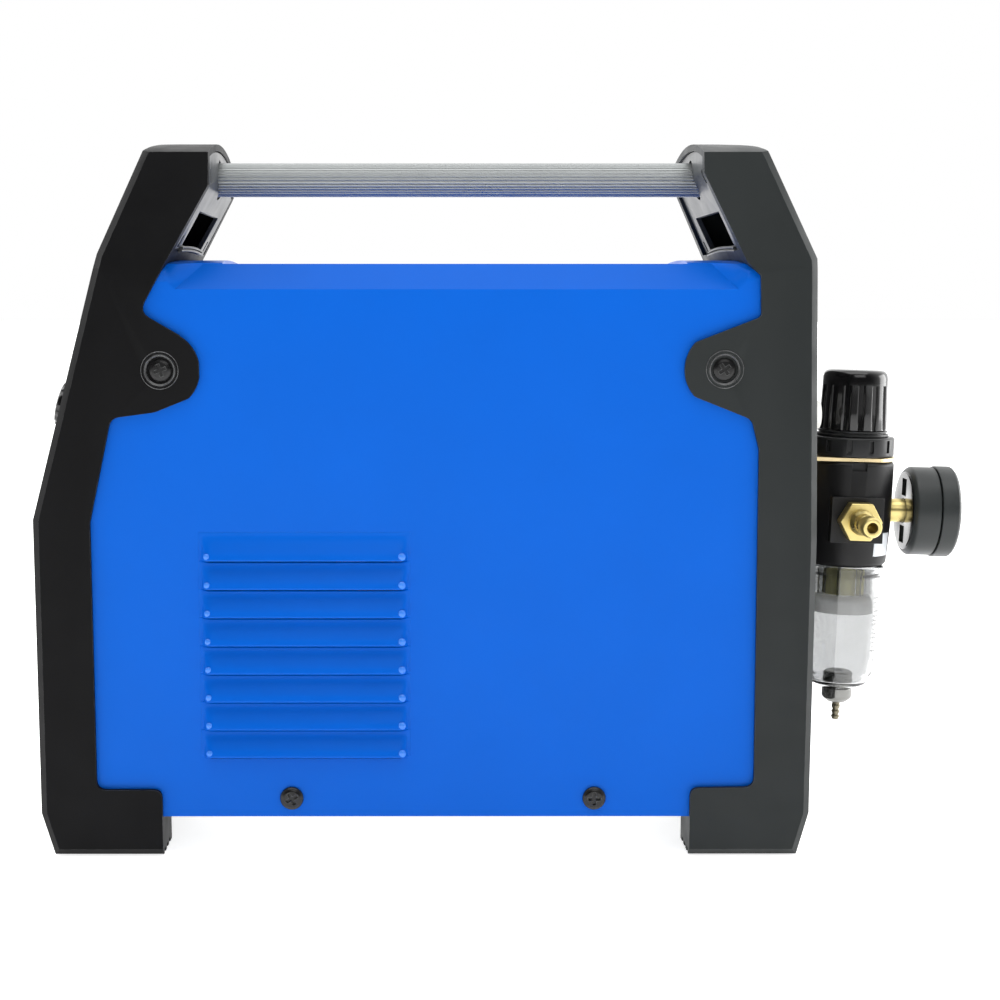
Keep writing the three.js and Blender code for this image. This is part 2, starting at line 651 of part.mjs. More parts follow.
// ---------- rear: switch, gland, fan ----------
// Square block round the switch, from one depth off the rear panel to another.
function switchBox(near, far, half) {
  const [y, z] = SWITCH_AT;
  return box(REAR_PANEL_X + near, REAR_PANEL_X + far, y - half, y + half, z - half, z + half - 1);
}

function rearPanel() {
  let plate = solid(prismX([
    [-54, 20], [54, 20], [54, 245, 3], [-54, 245, 3],
  ], REAR_PANEL_X - 1.5, REAR_PANEL_X));
  const holes = [
    solid(place(disc(42, -5, 5, FINE), [REAR_PANEL_X, 0, FAN_Z], [1, 0, 0])),
    switchBox(-12, 12, 9.8),
    solid(place(disc(6.3, -5, 5), [REAR_PANEL_X, ...GLAND_AT], [1, 0, 0])),
    solid(place(disc(5.3, -5, 5), [REAR_PANEL_X, ...ELBOW_AT], [1, 0, 0])),
  ];
  for (const y of [-BRACKET_SCREW_Y, BRACKET_SCREW_Y]) {
    holes.push(solid(place(disc(2.2, -5, 5), [REAR_PANEL_X, y, BRACKET_SCREW_Z], [1, 0, 0])));
  }
  return mesh('rear_panel', cut(plate, holes), BLACK);
}

function switchFrame() {
  const collar = switchBox(0.1, 2.2, 11.4);
  const well = switchBox(-14, 1, 9.5);
  const hollow = switchBox(-12.5, 5, 8.2);
  return mesh('power_switch_frame', collar.add(well).subtract(hollow), GLOSS_BLACK);
}

function rocker() {
  const profile = [
    [-4.5, -4.2, 1.5], [-2, -6.9, 1], [7, -6.9, 0.6], [4.6, -2.5, 3], [4, 0, 3], [4.6, 2.5, 3], [7, 6.9, 0.6],
    [-2, 6.9, 1], [-4.5, 4.2, 1.5],
  ];
  const [y, z] = SWITCH_AT;
  const lever = prismY(profile, y - 7.4, y + 7.4);
  lever.rotateY(THREE.MathUtils.degToRad(ROCKER_TILT)).translate(REAR_PANEL_X, 0, z - 0.5);
  return mesh('power_rocker', solid(lever), GLOSS_BLACK);
}

function cableGland() {
  const at = [REAR_PANEL_X, ...GLAND_AT];
  const body = solid(place(hexagon(19, 0.3, 4.5), at, [1, 0, 0]));
  const profile = [[0, -9], [6, -9], [6, 0.5], [7.4, 0.5], [7.4, 9], [6, 11.5], [0, 11.5]];
  const neck = solid(place(turned(profile), at, [1, 0, 0]));
  const bore = solid(place(disc(4.2, -12, 15), at, [1, 0, 0]));
  return mesh('cable_gland', body.add(neck).subtract(bore), WHITE);
}

function fanFrame() {
  const x1 = REAR_PANEL_X - 1.8;
  const at = [x1 - FAN_DEPTH, 0, FAN_Z];
  const block = solid(place(extruded(square(FAN_HALF, 4), FAN_DEPTH), at, [1, 0, 0]));
  const bore = solid(place(disc(41, -1, 30, FINE), at, [1, 0, 0]));
  const struts = [solid(place(disc(17, 21, 24.6), at, [1, 0, 0]))];
  for (let i = 0; i < 2; i += 1) {
    const turn = Math.PI / 4 + (i * Math.PI) / 2;
    const arm = new THREE.BoxGeometry(86, 5, 3).rotateZ(turn).translate(0, 0, 22.8);
    struts.push(solid(place(arm, at, [1, 0, 0])));
  }
  return mesh('fan_frame', block.subtract(bore).add(unite(struts)), RUBBER);
}

function fanRotor() {
  const x1 = REAR_PANEL_X - 1.8;
  const at = [x1 - FAN_DEPTH, 0, FAN_Z];
  let rotor = solid(place(disc(16.5, 1.5, 18.4), at, [1, 0, 0]));
  const blades = 7;
  for (let i = 0; i < blades; i += 1) {
    const blade = new THREE.BoxGeometry(26, 1.8, 17).rotateX(0.62).translate(27, 0, 10)
      .rotateZ((i / blades) * Math.PI * 2);
    rotor = rotor.add(solid(place(blade, at, [1, 0, 0])));
  }
  rotor = rotor.intersect(solid(place(disc(39.5, 1.5, 18.4, FINE), at, [1, 0, 0])));
  return mesh('fan_rotor', rotor, RUBBER);
}

function fanGrille() {
  const at = [REAR_PANEL_X, 0, FAN_Z];
  const wires = [];
  for (let i = 0; i < 4; i += 1) {
    const radius = 11 + i * 10.2;
    const wire = new THREE.TorusGeometry(radius, 0.9, 4, ROUND).translate(0, 0, 1.3);
    wires.push(solid(place(wire, at, [1, 0, 0])));
  }
  for (let i = 0; i < 2; i += 1) {
    const turn = Math.PI / 4 + (i * Math.PI) / 2;
    const spoke = new THREE.BoxGeometry(86, 1.6, 1.6).rotateZ(turn).translate(0, 0, 1.3);
    wires.push(solid(place(spoke, at, [1, 0, 0])));
  }
  return mesh('fan_grille', unite(wires), STEEL);
}

// ---------- filter regulator ----------
// Local frame: Z along the regulator, zero at the bracket's underside.
function onRegulator(geometry) {
  return geometry.rotateY(THREE.MathUtils.degToRad(REG_TILT)).translate(REG_X, 0, REG_Z);
}

function regulatorBracket() {
  const plate = prismZ([
    [-30.2, -17, 1], [14, -17, 4], [20.5, -10, 4], [20.5, 10, 4], [14, 17, 4], [-30.2, 17, 1],
  ], 0, 1.6);
  const flat = solid(onRegulator(plate)).intersect(box(REAR_PANEL_X + 0.3, 230, -30, 30, 160, 190));
  const flange = box(REAR_PANEL_X + 0.3, REAR_PANEL_X + 1.9, -17, 17, 152, 174.8);
  const hole = solid(onRegulator(disc(15.3, -5, 5)));
  let bracket = flat.add(flange).subtract(hole);
  for (const y of [-BRACKET_SCREW_Y, BRACKET_SCREW_Y]) {
    bracket = bracket.subtract(solid(place(disc(2.2, -5, 5), [REAR_PANEL_X, y, BRACKET_SCREW_Z], [1, 0, 0])));
  }
  return mesh('regulator_bracket', bracket, ZINC);
}

function bracketScrew(name, y) {
  const facing = [1, 0, 0];
  const at = [REAR_PANEL_X + 2.2, y, BRACKET_SCREW_Z];
  const profile = [[0, -7], [1.9, -7], [1.9, 0], [3.8, 0], [3.6, 1.4], [2.4, 2.4], [0, 2.6]];
  const body = solid(place(turned(profile, SMALL), at, facing));
  const arms = [
    solid(place(new THREE.BoxGeometry(4, 1, 2).translate(0, 0, 2.8), at, facing)),
    solid(place(new THREE.BoxGeometry(1, 4, 2).translate(0, 0, 2.8), at, facing)),
  ];
  return mesh(name, cut(body, arms), STEEL);
}

function regulatorBody() {
  const barrel = turned([
    [0, -49], [17, -49], [18.6, -47.6], [BODY_RADIUS, -30], [BODY_RADIUS, -1.6],
    [BODY_RADIUS - 1, -GAP], [0, -GAP],
  ], FINE);
  const padY = new THREE.BoxGeometry(24, 41.4, 21).translate(0, 0, PORT_Z);
  const padX = new THREE.BoxGeometry(41.4, 24, 21).translate(0, 0, GAUGE_DROP);
  let body = unite([solid(onRegulator(barrel)), solid(onRegulator(padY)), solid(onRegulator(padX))]);
  const bowlSeat = disc(16.2, -60, -44.5);
  const filterSeat = disc(5, -50, -40);
  const through = place(disc(5.4, -22, 22), [0, 0, PORT_Z], [0, 1, 0]);
  const gaugePort = place(disc(5.4, 8, 30), [0, 0, GAUGE_DROP], [1, 0, 0]);
  const notch = new THREE.BoxGeometry(7, 4, 2.4).translate(0, -BODY_RADIUS, -1.6);
  body = cut(body, [bowlSeat, filterSeat, through, gaugePort, notch].map((part) => solid(onRegulator(part))));
  return mesh('regulator_body', body, BLACK);
}

function regulatorBonnet() {
  const profile = [
    [0, GAP], [15, GAP], [15, 11.2], [16.4, 11.4], [16.4, 12.6], [14.8, 12.8], [14.8, 13.4],
    [13, 13.4], [13, 22], [0, 22],
  ];
  return mesh('regulator_bonnet', solid(onRegulator(turned(profile))), BLACK);
}

function lockRing() {
  let body = solid(onRegulator(ring(15.4, 19.4, 1.9, 10.6, FINE)));
  const slots = 10;
  for (let i = 0; i < slots; i += 1) {
    const turn = ((i + 0.5) / slots) * Math.PI * 2;
    const slot = new THREE.BoxGeometry(2, 4.6, 7).translate(19.4, 0, 8).rotateZ(turn);
    body = body.subtract(solid(onRegulator(slot)));
  }
  return mesh('regulator_lock_ring', body, BLACK);
}

function regulatorKnob() {
  const base = 14;
  let knob = solid(onRegulator(turned([
    [0, base + 27.6], [12.6, base + 27.6], [14.4, base + 26], [15, base + 20], [15.6, base + 1], [15.3, base],
    [13.3, base], [13.3, base + 8.6], [0, base + 8.6],
  ].reverse(), FINE)));
  const flutes = 18;
  for (let i = 0; i < flutes; i += 1) {
    const angle = (i / flutes) * Math.PI * 2;
    const flute = disc(0.8, base - 1, base + 20.5, 6).translate(15.7, 0, 0).rotateZ(angle);
    knob = knob.subtract(solid(onRegulator(flute)));
  }
  return mesh('regulator_knob', knob, GLOSS_BLACK);
}

function filterElement() {
  const profile = [[3.4, -44.8], [8.2, -44.8], [8.6, -45.4], [8.4, -63], [3.4, -63], [3.4, -44.8]];
  return mesh('filter_element', solid(onRegulator(turned(profile.reverse()))), BRONZE);
}

function filterBaffle() {
  const profile = [
    [0, -40.8], [3.1, -40.8], [3.1, -63.4], [12.6, -63.4], [13.6, -66.4], [14, -70.4],
    [13.2, -70.4], [12.2, -65.4], [4, -65.4], [4, -72], [0, -72],
  ];
  return mesh('filter_baffle', solid(onRegulator(turned(profile.reverse()))), WHITE);
}

function filterBowl() {
  const profile = [
    [15.9, -45], [15.9, -49.4], [18.3, -49.4], [18.3, -52.6], [17.2, -53.4], [16.9, -74],
    [16.4, -95], [15.4, -102], [12.8, -106.4], [8.6, -108], [5.3, -108],
    [5.3, -105.8], [8, -105.8], [11.4, -104.4], [13.5, -101], [14.5, -94], [15, -74], [15, -45], [15.9, -45],
  ];
  return mesh('filter_bowl', solid(onRegulator(turned(profile.reverse(), FINE))), CLEAR);
}

function drainValve() {
  const profile = [
    [2.2, -115.6], [4.6, -115.6], [6.9, -113.4], [7.2, -108.3], [5, -108.3], [5, -105.4],
    [7, -105.4], [7, -101.8], [5.8, -100.6], [2.2, -100.6], [2.2, -115.6],
  ];
  return mesh('drain_valve', solid(onRegulator(turned(profile))), STEEL);
}

function drainNipple() {
  const profile = [
    [0, -124.4], [1.5, -124.4], [2.1, -122.6], [1.5, -122], [2.1, -120.2], [1.5, -119.6], [2.1, -117.8],
    [1.9, -116.8], [1.9, -103], [0, -103],
  ];
  return mesh('drain_nipple', solid(onRegulator(turned(profile, SMALL))), BRASS);
}

function inletNipple() {
  const at = [0, -21, PORT_Z];
  const hex = solid(onRegulator(place(hexagon(17, 0.2, 7.5), at, [0, -1, 0])));
  const stem = solid(onRegulator(place(turned([
    [0, -9], [5, -9], [5, 0.4], [5.8, 7], [5.8, 9.5], [4.4, 12], [4.4, 15.6], [3.9, 16.4],
    [3.9, 19.4], [4.6, 20.4], [4.6, 27], [3.8, 28.4], [0, 28.4],
  ]), at, [0, -1, 0])));
  const bore = solid(onRegulator(place(disc(2.4, -12, 32, SMALL), at, [0, -1, 0])));
  return mesh('air_inlet_nipple', hex.add(stem).subtract(bore), BRASS);
}

function outletElbow() {
  const spigot = turned([[0, -8], [5, -8], [5, 0.4], [7, 0.4], [7, 4], [0, 4]]);
  const block = solid(onRegulator(place(spigot, [0, 21, PORT_Z], [0, 1, 0])));
  const head = solid(onRegulator(new THREE.BoxGeometry(15, 15, 15).translate(0, 32.4, PORT_Z)));
  const tube = solid(place(disc(5, 0, 38), [REAR_PANEL_X - 10, ...ELBOW_AT], [1, 0, 0]));
  return mesh('air_outlet_elbow', block.add(head).add(tube), BRASS);
}

// ---------- pressure gauge ----------
// Local frame: Z out of the dial, zero at the back of the case.
function onGauge(geometry) {
  return solid(onRegulator(place(geometry, [GAUGE_BACK, 0, GAUGE_DROP], [1, 0, 0])));
}

function gaugeStem() {
  const stem = onGauge(disc(5, -15.3, -GAP, SMALL));
  const flats = onGauge(new THREE.BoxGeometry(11, 11, 4.4).translate(0, 0, -2.6));
  return mesh('gauge_stem', stem.add(flats), BRASS);
}

function gaugeCase() {
  const profile = [
    [0, 0], [GAUGE_RADIUS - 1.6, 0], [GAUGE_RADIUS - 0.6, 1], [GAUGE_RADIUS - 0.6, 12.4],
    [GAUGE_RADIUS - 2, 12.4], [GAUGE_RADIUS - 2, 2], [0, 2],
  ];
  const vent = onGauge(new THREE.BoxGeometry(5, 3, 6).translate(-12, 0, 0));
  return mesh('gauge_case', onGauge(turned(profile, FINE)).subtract(vent), BLACK);
}

function gaugeCover() {
  const profile = [
    [GAUGE_RADIUS - 2.6, 12.8], [GAUGE_RADIUS, 12.8], [GAUGE_RADIUS, GAUGE_DEPTH - 1],
    [GAUGE_RADIUS - 1, GAUGE_DEPTH], [GAUGE_RADIUS - 3.4, GAUGE_DEPTH],
    [GAUGE_RADIUS - 3.4, GAUGE_DEPTH - 1.2], [GAUGE_RADIUS - 2.6, GAUGE_DEPTH - 1.2],
    [GAUGE_RADIUS - 2.6, 12.8],
  ];
  return mesh('gauge_cover', onGauge(turned(profile, FINE)), BLACK);
}

function gaugeLens() {
  const pane = disc(GAUGE_RADIUS - 2.9, GAUGE_DEPTH - 2.8, GAUGE_DEPTH - 1.5, FINE);
  return mesh('gauge_lens', onGauge(pane), CLEAR);
}

function gaugeDial() {
  const plate = onGauge(disc(GAUGE_RADIUS - 2.9, 12.9, 13.7, FINE));
  return mesh('gauge_dial', plate.subtract(onGauge(disc(1.3, 10, 16, SMALL))), WHITE);
}

function gaugeNeedle() {
  const hub = turned([[0, 3], [1, 3], [1, 14.2], [2.4, 14.2], [2.4, 15.8], [0, 15.8]], SMALL);
  const hand = extruded([[0, -0.9], [15, -0.3], [15, 0.3], [0, 0.9], [-4.5, 1.1], [-4.5, -1.1]], 0.7)
    .translate(0, 0, 14.5).rotateZ(THREE.MathUtils.degToRad(-45));
  return mesh('gauge_needle', onGauge(hub).add(onGauge(hand)), GLOSS_BLACK);
}

// ---------- power electronics ----------
function mainBoard() {
  const board = box(-128, 110, 34, 35.6, 30, 226);
  const parts = [];
  for (const x of [40, 76]) {
    const can = disc(14, 0, 40);
    parts.push(solid(place(can, [x, 35, 140], [0, -1, 0])));
  }
  return mesh('main_board', unite([board, ...parts]), { color: 0x1d5a3a, roughness: 0.6, metalness: 0 });
}

function heatSink() {
  let sink = box(-96, 96, -44, 20, 46, 52);
  const fins = 12;
  for (let i = 0; i < fins; i += 1) {
    const y = -43 + i * 5.4;
    sink = sink.add(box(-96, 96, y, y + 1.8, 52, 96));
  }
  return mesh('heat_sink', sink, ALUMINIUM);
}

function transformer() {
  const core = box(-40, 24, -38, 22, 112, 172).subtract(box(-28, 12, -50, 30, 124, 160));
  const coil = box(-16, 0, -44, 28, 123, 161);
  return mesh('transformer', core.add(coil), { color: 0x8a4a2a, roughness: 0.45, metalness: 0.5 });
}

function solenoidValve() {
  const coil = box(104, 134, 2, 30, 176, 206);
  const bodyBlock = box(98, 140, 8, 24, 156, 176.2);
  const stem = solid(place(disc(5, 0, 10), [119, 16, 205], [0, 0, 1]));
  return mesh('solenoid_valve', unite([coil, bodyBlock, stem]), STEEL);
}

// ---------- assembly ----------
function assemble() {
  const machine = new THREE.Group();
  machine.name = 'plasma_cutter';
  machine.add(frontBezel(), rearBezel());
  machine.add(insertPlate('front_handle_insert', FRONT_INSERT, -1, GREY_BLACK));
  machine.add(insertPlate('rear_handle_insert', REAR_INSERT, 1, GREY_BLACK));
  machine.add(handleBar(), handleBolt('front_handle_bolt', -119, -1), handleBolt('rear_handle_bolt', 145, 1));
  machine.add(topCover(), baseTray(), frontPanel(), rearPanel());
  for (const [side, label] of [[-1, 'right'], [1, 'left']]) {
    machine.add(panScrew(`front_bezel_screw_${label}`, FRONT_SCREW, side, EAR_SCREW));
    machine.add(panScrew(`rear_bezel_screw_${label}`, REAR_SCREW, side, EAR_SCREW));
    machine.add(panScrew(`cover_screw_front_${label}`, [COVER_SCREW_X[0], COVER_SCREW_Z], side, COVER_SCREW));
    machine.add(panScrew(`cover_screw_rear_${label}`, [COVER_SCREW_X[1], COVER_SCREW_Z], side, COVER_SCREW));
  }
  machine.add(controlOverlay(), currentKnob(), potentiometer(), modeButton());
  machine.add(indicator('indicator_power', 0, 0x2fbf4a), indicator('indicator_air', 1, 0xe0a020));
  machine.add(indicator('indicator_overheat', 2, 0xc83020));
  machine.add(torchSocket(), earthSocket(), earthContact(), triggerSocket());
  machine.add(switchFrame(), rocker(), cableGland(), fanFrame(), fanRotor(), fanGrille());
  machine.add(regulatorBracket(), bracketScrew('bracket_screw_left', BRACKET_SCREW_Y));
  machine.add(bracketScrew('bracket_screw_right', -BRACKET_SCREW_Y));
  machine.add(regulatorBody(), regulatorBonnet(), lockRing(), regulatorKnob());
  machine.add(filterElement(), filterBaffle());
  machine.add(filterBowl(), drainValve(), drainNipple(), inletNipple(), outletElbow());
  machine.add(gaugeStem(), gaugeCase(), gaugeCover(), gaugeLens(), gaugeDial(), gaugeNeedle());
  machine.add(mainBoard(), heatSink(), transformer(), solenoidValve());
  return machine;
}

export default assemble();
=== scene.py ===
# Portable plasma cutter: the looks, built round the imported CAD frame.
import json
import math

import bmesh
import bpy
from mathutils import Matrix, Vector


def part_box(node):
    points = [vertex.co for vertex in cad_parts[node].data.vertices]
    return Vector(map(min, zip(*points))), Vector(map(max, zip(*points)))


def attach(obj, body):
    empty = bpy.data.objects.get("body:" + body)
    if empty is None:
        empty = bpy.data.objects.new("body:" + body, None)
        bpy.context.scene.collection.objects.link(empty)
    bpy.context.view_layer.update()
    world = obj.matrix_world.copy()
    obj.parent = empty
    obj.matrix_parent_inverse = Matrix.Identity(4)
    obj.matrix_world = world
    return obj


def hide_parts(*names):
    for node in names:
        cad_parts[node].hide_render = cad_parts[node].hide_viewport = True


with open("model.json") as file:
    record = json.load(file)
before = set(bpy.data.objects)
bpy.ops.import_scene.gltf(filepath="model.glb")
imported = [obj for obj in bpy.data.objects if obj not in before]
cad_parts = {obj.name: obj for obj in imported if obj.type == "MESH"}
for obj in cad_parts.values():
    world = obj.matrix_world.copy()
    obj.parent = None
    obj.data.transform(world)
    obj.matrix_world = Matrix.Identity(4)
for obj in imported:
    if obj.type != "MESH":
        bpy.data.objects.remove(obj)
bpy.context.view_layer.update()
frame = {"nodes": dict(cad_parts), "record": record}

# ---------- dimensions shared with the CAD, in millimetres ----------
MM = 0.001
TINY = 1e-6
WELD = 2e-6
SHARP = 32
PAST_BODY = 70
X_CENTRE = 35.3
BAR_START = -112
BAR_LENGTH = 250
BAR_Z = 300.6
BAR_RADIUS = 7.6
BAR_RIBS = 30
RIB_STEPS = 10
RIB_DEPTH = 0.34
COVER_HALF = 56.5
SHEET = 1.2
LOUVRES = 8
LOUVRE_PITCH = 12.6
LOUVRE_FIRST = 45.0
LOUVRE_X = (-98.0, -8.0)
LOUVRE_PROUD = 3.3
LOUVRE_RISE = 11.6
LOUVRE_CAP = 3.4
LOUVRE_EDGE = 1.5
LOUVRE_SLIT = 0.8
FOLD = 1.6
SHOULDER_Z = 250.5
COVER_MIDDLE_Z = 180
INSERT_FOOT = 268.2
FRONT_INSERT = (-93.6, 294.3, 0.565)
REAR_INSERT = (121.0, 301.4, 0.49)
FRONT_EAR = (0, 66, 59)
REAR_EAR = (180, 70, 67)
EAR_RADIUS = 17.2
EAR_WASTE = 9
EAR_STEPS = 28
FRONT_SCREW = (-114.5, 216.3)
REAR_SCREW = (129.3, 216.7)
COVER_SCREW_X = (-59.6, 75.4)
COVER_SCREW_Z = 26.0
PANEL_X = -162.7
PANEL_SLOPE = 0.267
REAR_PANEL_X = 167.0
FAN_Z = 86.0
FAN_DEPTH = 26.8
FAN_BLADES = 7
HUB_RADIUS = 16
BLADE_SPAN = 23
GRILLE_RINGS = (8, 15, 22, 29, 36, 41.5)
GRILLE_WIRE = 0.85
GRILLE_OUT = 1.25
REG_X = 198.6
REG_Z = 173.0
REG_TILT = 1.6
KNOB_BASE = 14
KNOB_RIBS = 14
LOCK_NOTCHES = 12
NUT_FLATS = 17
FILTER_GUIDES = 8
BODY_RADIUS = 19.8
PORT_Z = -26.6
BOWL_RADIUS = 16.9
BRACKET_ROUND = 19.9
GAUGE_RADIUS = 21.2
GAUGE_BACK = 26.3
GAUGE_DEPTH = 21.5
GAUGE_DROP = -23.6
DIAL_SWEEP = 280
DIAL_TICKS = 24
DIAL_Y = -18
DIAL_Z = 196
FILM_OUT = 0.62
FILM_HALF = 28
FILM_Z = 197
BORDER = 0.4
INK = 0.08

# ---------- camera, in millimetres and degrees ----------
FOCAL_LENGTH = 64.8
SENSOR_WIDTH = 36
CAMERA_SHIFT = (0.069, 0.05)
CAMERA_SPOT = (1.19, -838.2, 246.4)
CAMERA_PITCH = 7.907
CAMERA_YAW = -0.1


# ---------- mesh helpers ----------
def srgb(red, green, blue):
    """Linear colour with full alpha from 0 to 255 display values."""

    def linear(value):
        value /= 255
        return value / 12.92 if value <= 0.04045 else ((value + 0.055) / 1.055) ** 2.4

    return (linear(red), linear(green), linear(blue), 1.0)


def at(x, y, z):
    """Matrix that takes millimetres round a point of the machine to metres in the row frame."""
    return Matrix.Translation(((x - X_CENTRE) * MM, y * MM, z * MM)) @ Matrix.Scale(MM, 4)


def aimed(x, y, z, direction):
    """Like at(), with local +Z turned to face a direction."""
    turn = Vector((0, 0, 1)).rotation_difference(Vector(direction).normalized())
    return at(x, y, z) @ turn.to_matrix().to_4x4()


REGULATOR = at(REG_X, 0, REG_Z) @ Matrix.Rotation(math.radians(REG_TILT), 4, "Y")


def on_regulator(x, y, z, direction):
    """Like aimed(), measured from the regulator's own axis."""
    turn = Vector((0, 0, 1)).rotation_difference(Vector(direction).normalized())
    return REGULATOR @ Matrix.Translation((x, y, z)) @ turn.to_matrix().to_4x4()


def on_panel(y, z, out):
    """Spot on the leaning front panel, with local +Z square to it."""
    normal = Vector((-1, 0, PANEL_SLOPE)).normalized()
    x = PANEL_X + PANEL_SLOPE * (z - 150)
    return aimed(x + normal.x * out, y, z + normal.z * out, normal)


def piece(name, bm, material, node, angle=SHARP, place=None):
    """Turns mesh code into a shown object that stands for a CAD node and rides on its body."""
    if place is not None:
        bmesh.ops.transform(bm, matrix=place, verts=bm.verts)
    bmesh.ops.recalc_face_normals(bm, faces=bm.faces)
    data = bpy.data.meshes.new(name)
    bm.to_mesh(data)
    bm.free()
    data.shade_smooth()
    data.set_sharp_from_angle(angle=math.radians(angle))
    made = bpy.data.objects.new(name, data)
    bpy.context.scene.collection.objects.link(made)
    data.materials.append(material)
    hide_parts(node)
    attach(made, body_of(node))
    return made


def body_of(node):
    """Body of the record that a node belongs to."""
    for name, nodes in frame["record"]["behaviour"]["bodies"].items():
        if node in nodes:
            return name
    return "cabinet"


def ease(made, width, segments=2, angle=34):
    """Eases the hard edges of a piece by a width in millimetres."""
    bevel = made.modifiers.new("eased_edges", "BEVEL")
    bevel.width = width * MM
    bevel.segments = segments
    bevel.limit_method = "ANGLE"
    bevel.angle_limit = math.radians(angle)
    bevel.use_clamp_overlap = True
    bevel.miter_outer = "MITER_ARC"


def lathe(profile, segments=72):
    """Turned shape about local Z from (radius, height) pairs."""
    bm = bmesh.new()
    rings = []
    for radius, height in profile:
        if radius < TINY:
            rings.append([bm.verts.new((0, 0, height))])
            continue
        ring = []
        for i in range(segments):
            turn = 2 * math.pi * i / segments
            ring.append(bm.verts.new((radius * math.cos(turn), radius * math.sin(turn), height)))
        rings.append(ring)
    for low, high in zip(rings, rings[1:]):
        for i in range(segments):
            j = (i + 1) % segments
            if len(low) == 1 and len(high) == 1:
                continue
            if len(low) == 1:
                bm.faces.new((low[0], high[i], high[j]))
            elif len(high) == 1:
                bm.faces.new((low[i], low[j], high[0]))
            else:
                bm.faces.new((low[i], low[j], high[j], high[i]))
    return bm


def softened(profile, radius, steps=4):
    """Rounds the corners of an open profile."""
    out = [profile[0]]
    for before, here, after in zip(profile, profile[1:], profile[2:]):
        a, b, c = Vector(before), Vector(here), Vector(after)
        reach = min(radius, 0.45 * (a - b).length, 0.45 * (c - b).length)
        if reach < 1e-4:
            out.append(tuple(b))
            continue
        start = b + (a - b).normalized() * reach
        end = b + (c - b).normalized() * reach
        for k in range(steps + 1):
            t = k / steps
            out.append(tuple(start * (1 - t) ** 2 + b * 2 * t * (1 - t) + end * t * t))
    out.append(profile[-1])
    return out


def prism(points, low, high):
    """Outline in local X-Y pushed along local Z."""
    bm = bmesh.new()
    bottom = [bm.verts.new((x, y, low)) for x, y in points]
    top = [bm.verts.new((x, y, high)) for x, y in points]
    bm.faces.new(bottom)
    bm.faces.new(top)
    for i in range(len(points)):
        j = (i + 1) % len(points)
        bm.faces.new((bottom[i], bottom[j], top[j], top[i]))
    return bm


def merged(*parts):
    """Joins several meshes, each with its own matrix."""
    whole = bmesh.new()
    for bm, matrix in parts:
        bmesh.ops.transform(bm, matrix=matrix, verts=bm.verts)
        data = bpy.data.meshes.new("part")
        bm.to_mesh(data)
        bm.free()
        whole.from_mesh(data)
        bpy.data.meshes.remove(data)
    return whole


def copied(node):
    """The CAD node's own shape with its flat faces made whole."""
    bm = bmesh.new()
    bm.from_mesh(frame["nodes"][node].data)
    bmesh.ops.remove_doubles(bm, verts=bm.verts, dist=WELD)
    flat = math.radians(0.6)
    bmesh.ops.dissolve_limit(
        bm, angle_limit=flat, verts=bm.verts, edges=bm.edges, use_dissolve_boundaries=False
    )
    return bm


def carve(made, cutter):
    """Cuts a mesh out of a piece, for good."""
    data = bpy.data.meshes.new("cutter")
    cutter.to_mesh(data)
    cutter.free()
    tool = bpy.data.objects.new("cutter", data)
    bpy.context.scene.collection.objects.link(tool)
    cut = made.modifiers.new("cut", "BOOLEAN")
    cut.operation = "DIFFERENCE"
    cut.solver = "EXACT"
    cut.object = tool
    bpy.context.view_layer.update()
    graph = bpy.context.evaluated_depsgraph_get()
    result = bpy.data.meshes.new_from_object(made.evaluated_get(graph))
    made.modifiers.clear()
    made.data = result
    bpy.data.objects.remove(tool)


def cutter_placed(bm, place):
    """Turns a cutter's faces outward and puts it in place."""
    bmesh.ops.recalc_face_normals(bm, faces=bm.faces)
    bmesh.ops.transform(bm, matrix=place, verts=bm.verts)
    return bm


def join_rings(bm, rings, closed=True):
    """Quads between each ring of points and the next."""
    for low, high in zip(rings, rings[1:]):
        for i in range(len(low) if closed else len(low) - 1):
            j = (i + 1) % len(low)
            bm.faces.new((low[i], low[j], high[j], high[i]))


def smooth_shade(made):
    """Smooth shading again after a cut, with sharp folds."""
    made.data.shade_smooth()
    made.data.set_sharp_from_angle(angle=math.radians(SHARP))


def block(x0, x1, y0, y1, z0, z1):
    """Box between two corners, to join or to cut with."""
    bm = bmesh.new()
    bmesh.ops.create_cube(bm, size=1)
    size = Matrix.Diagonal((x1 - x0, y1 - y0, z1 - z0, 1))
    middle = Matrix.Translation(((x0 + x1) / 2, (y0 + y1) / 2, (z0 + z1) / 2))
    bmesh.ops.transform(bm, matrix=middle @ size, verts=bm.verts)
    return bm


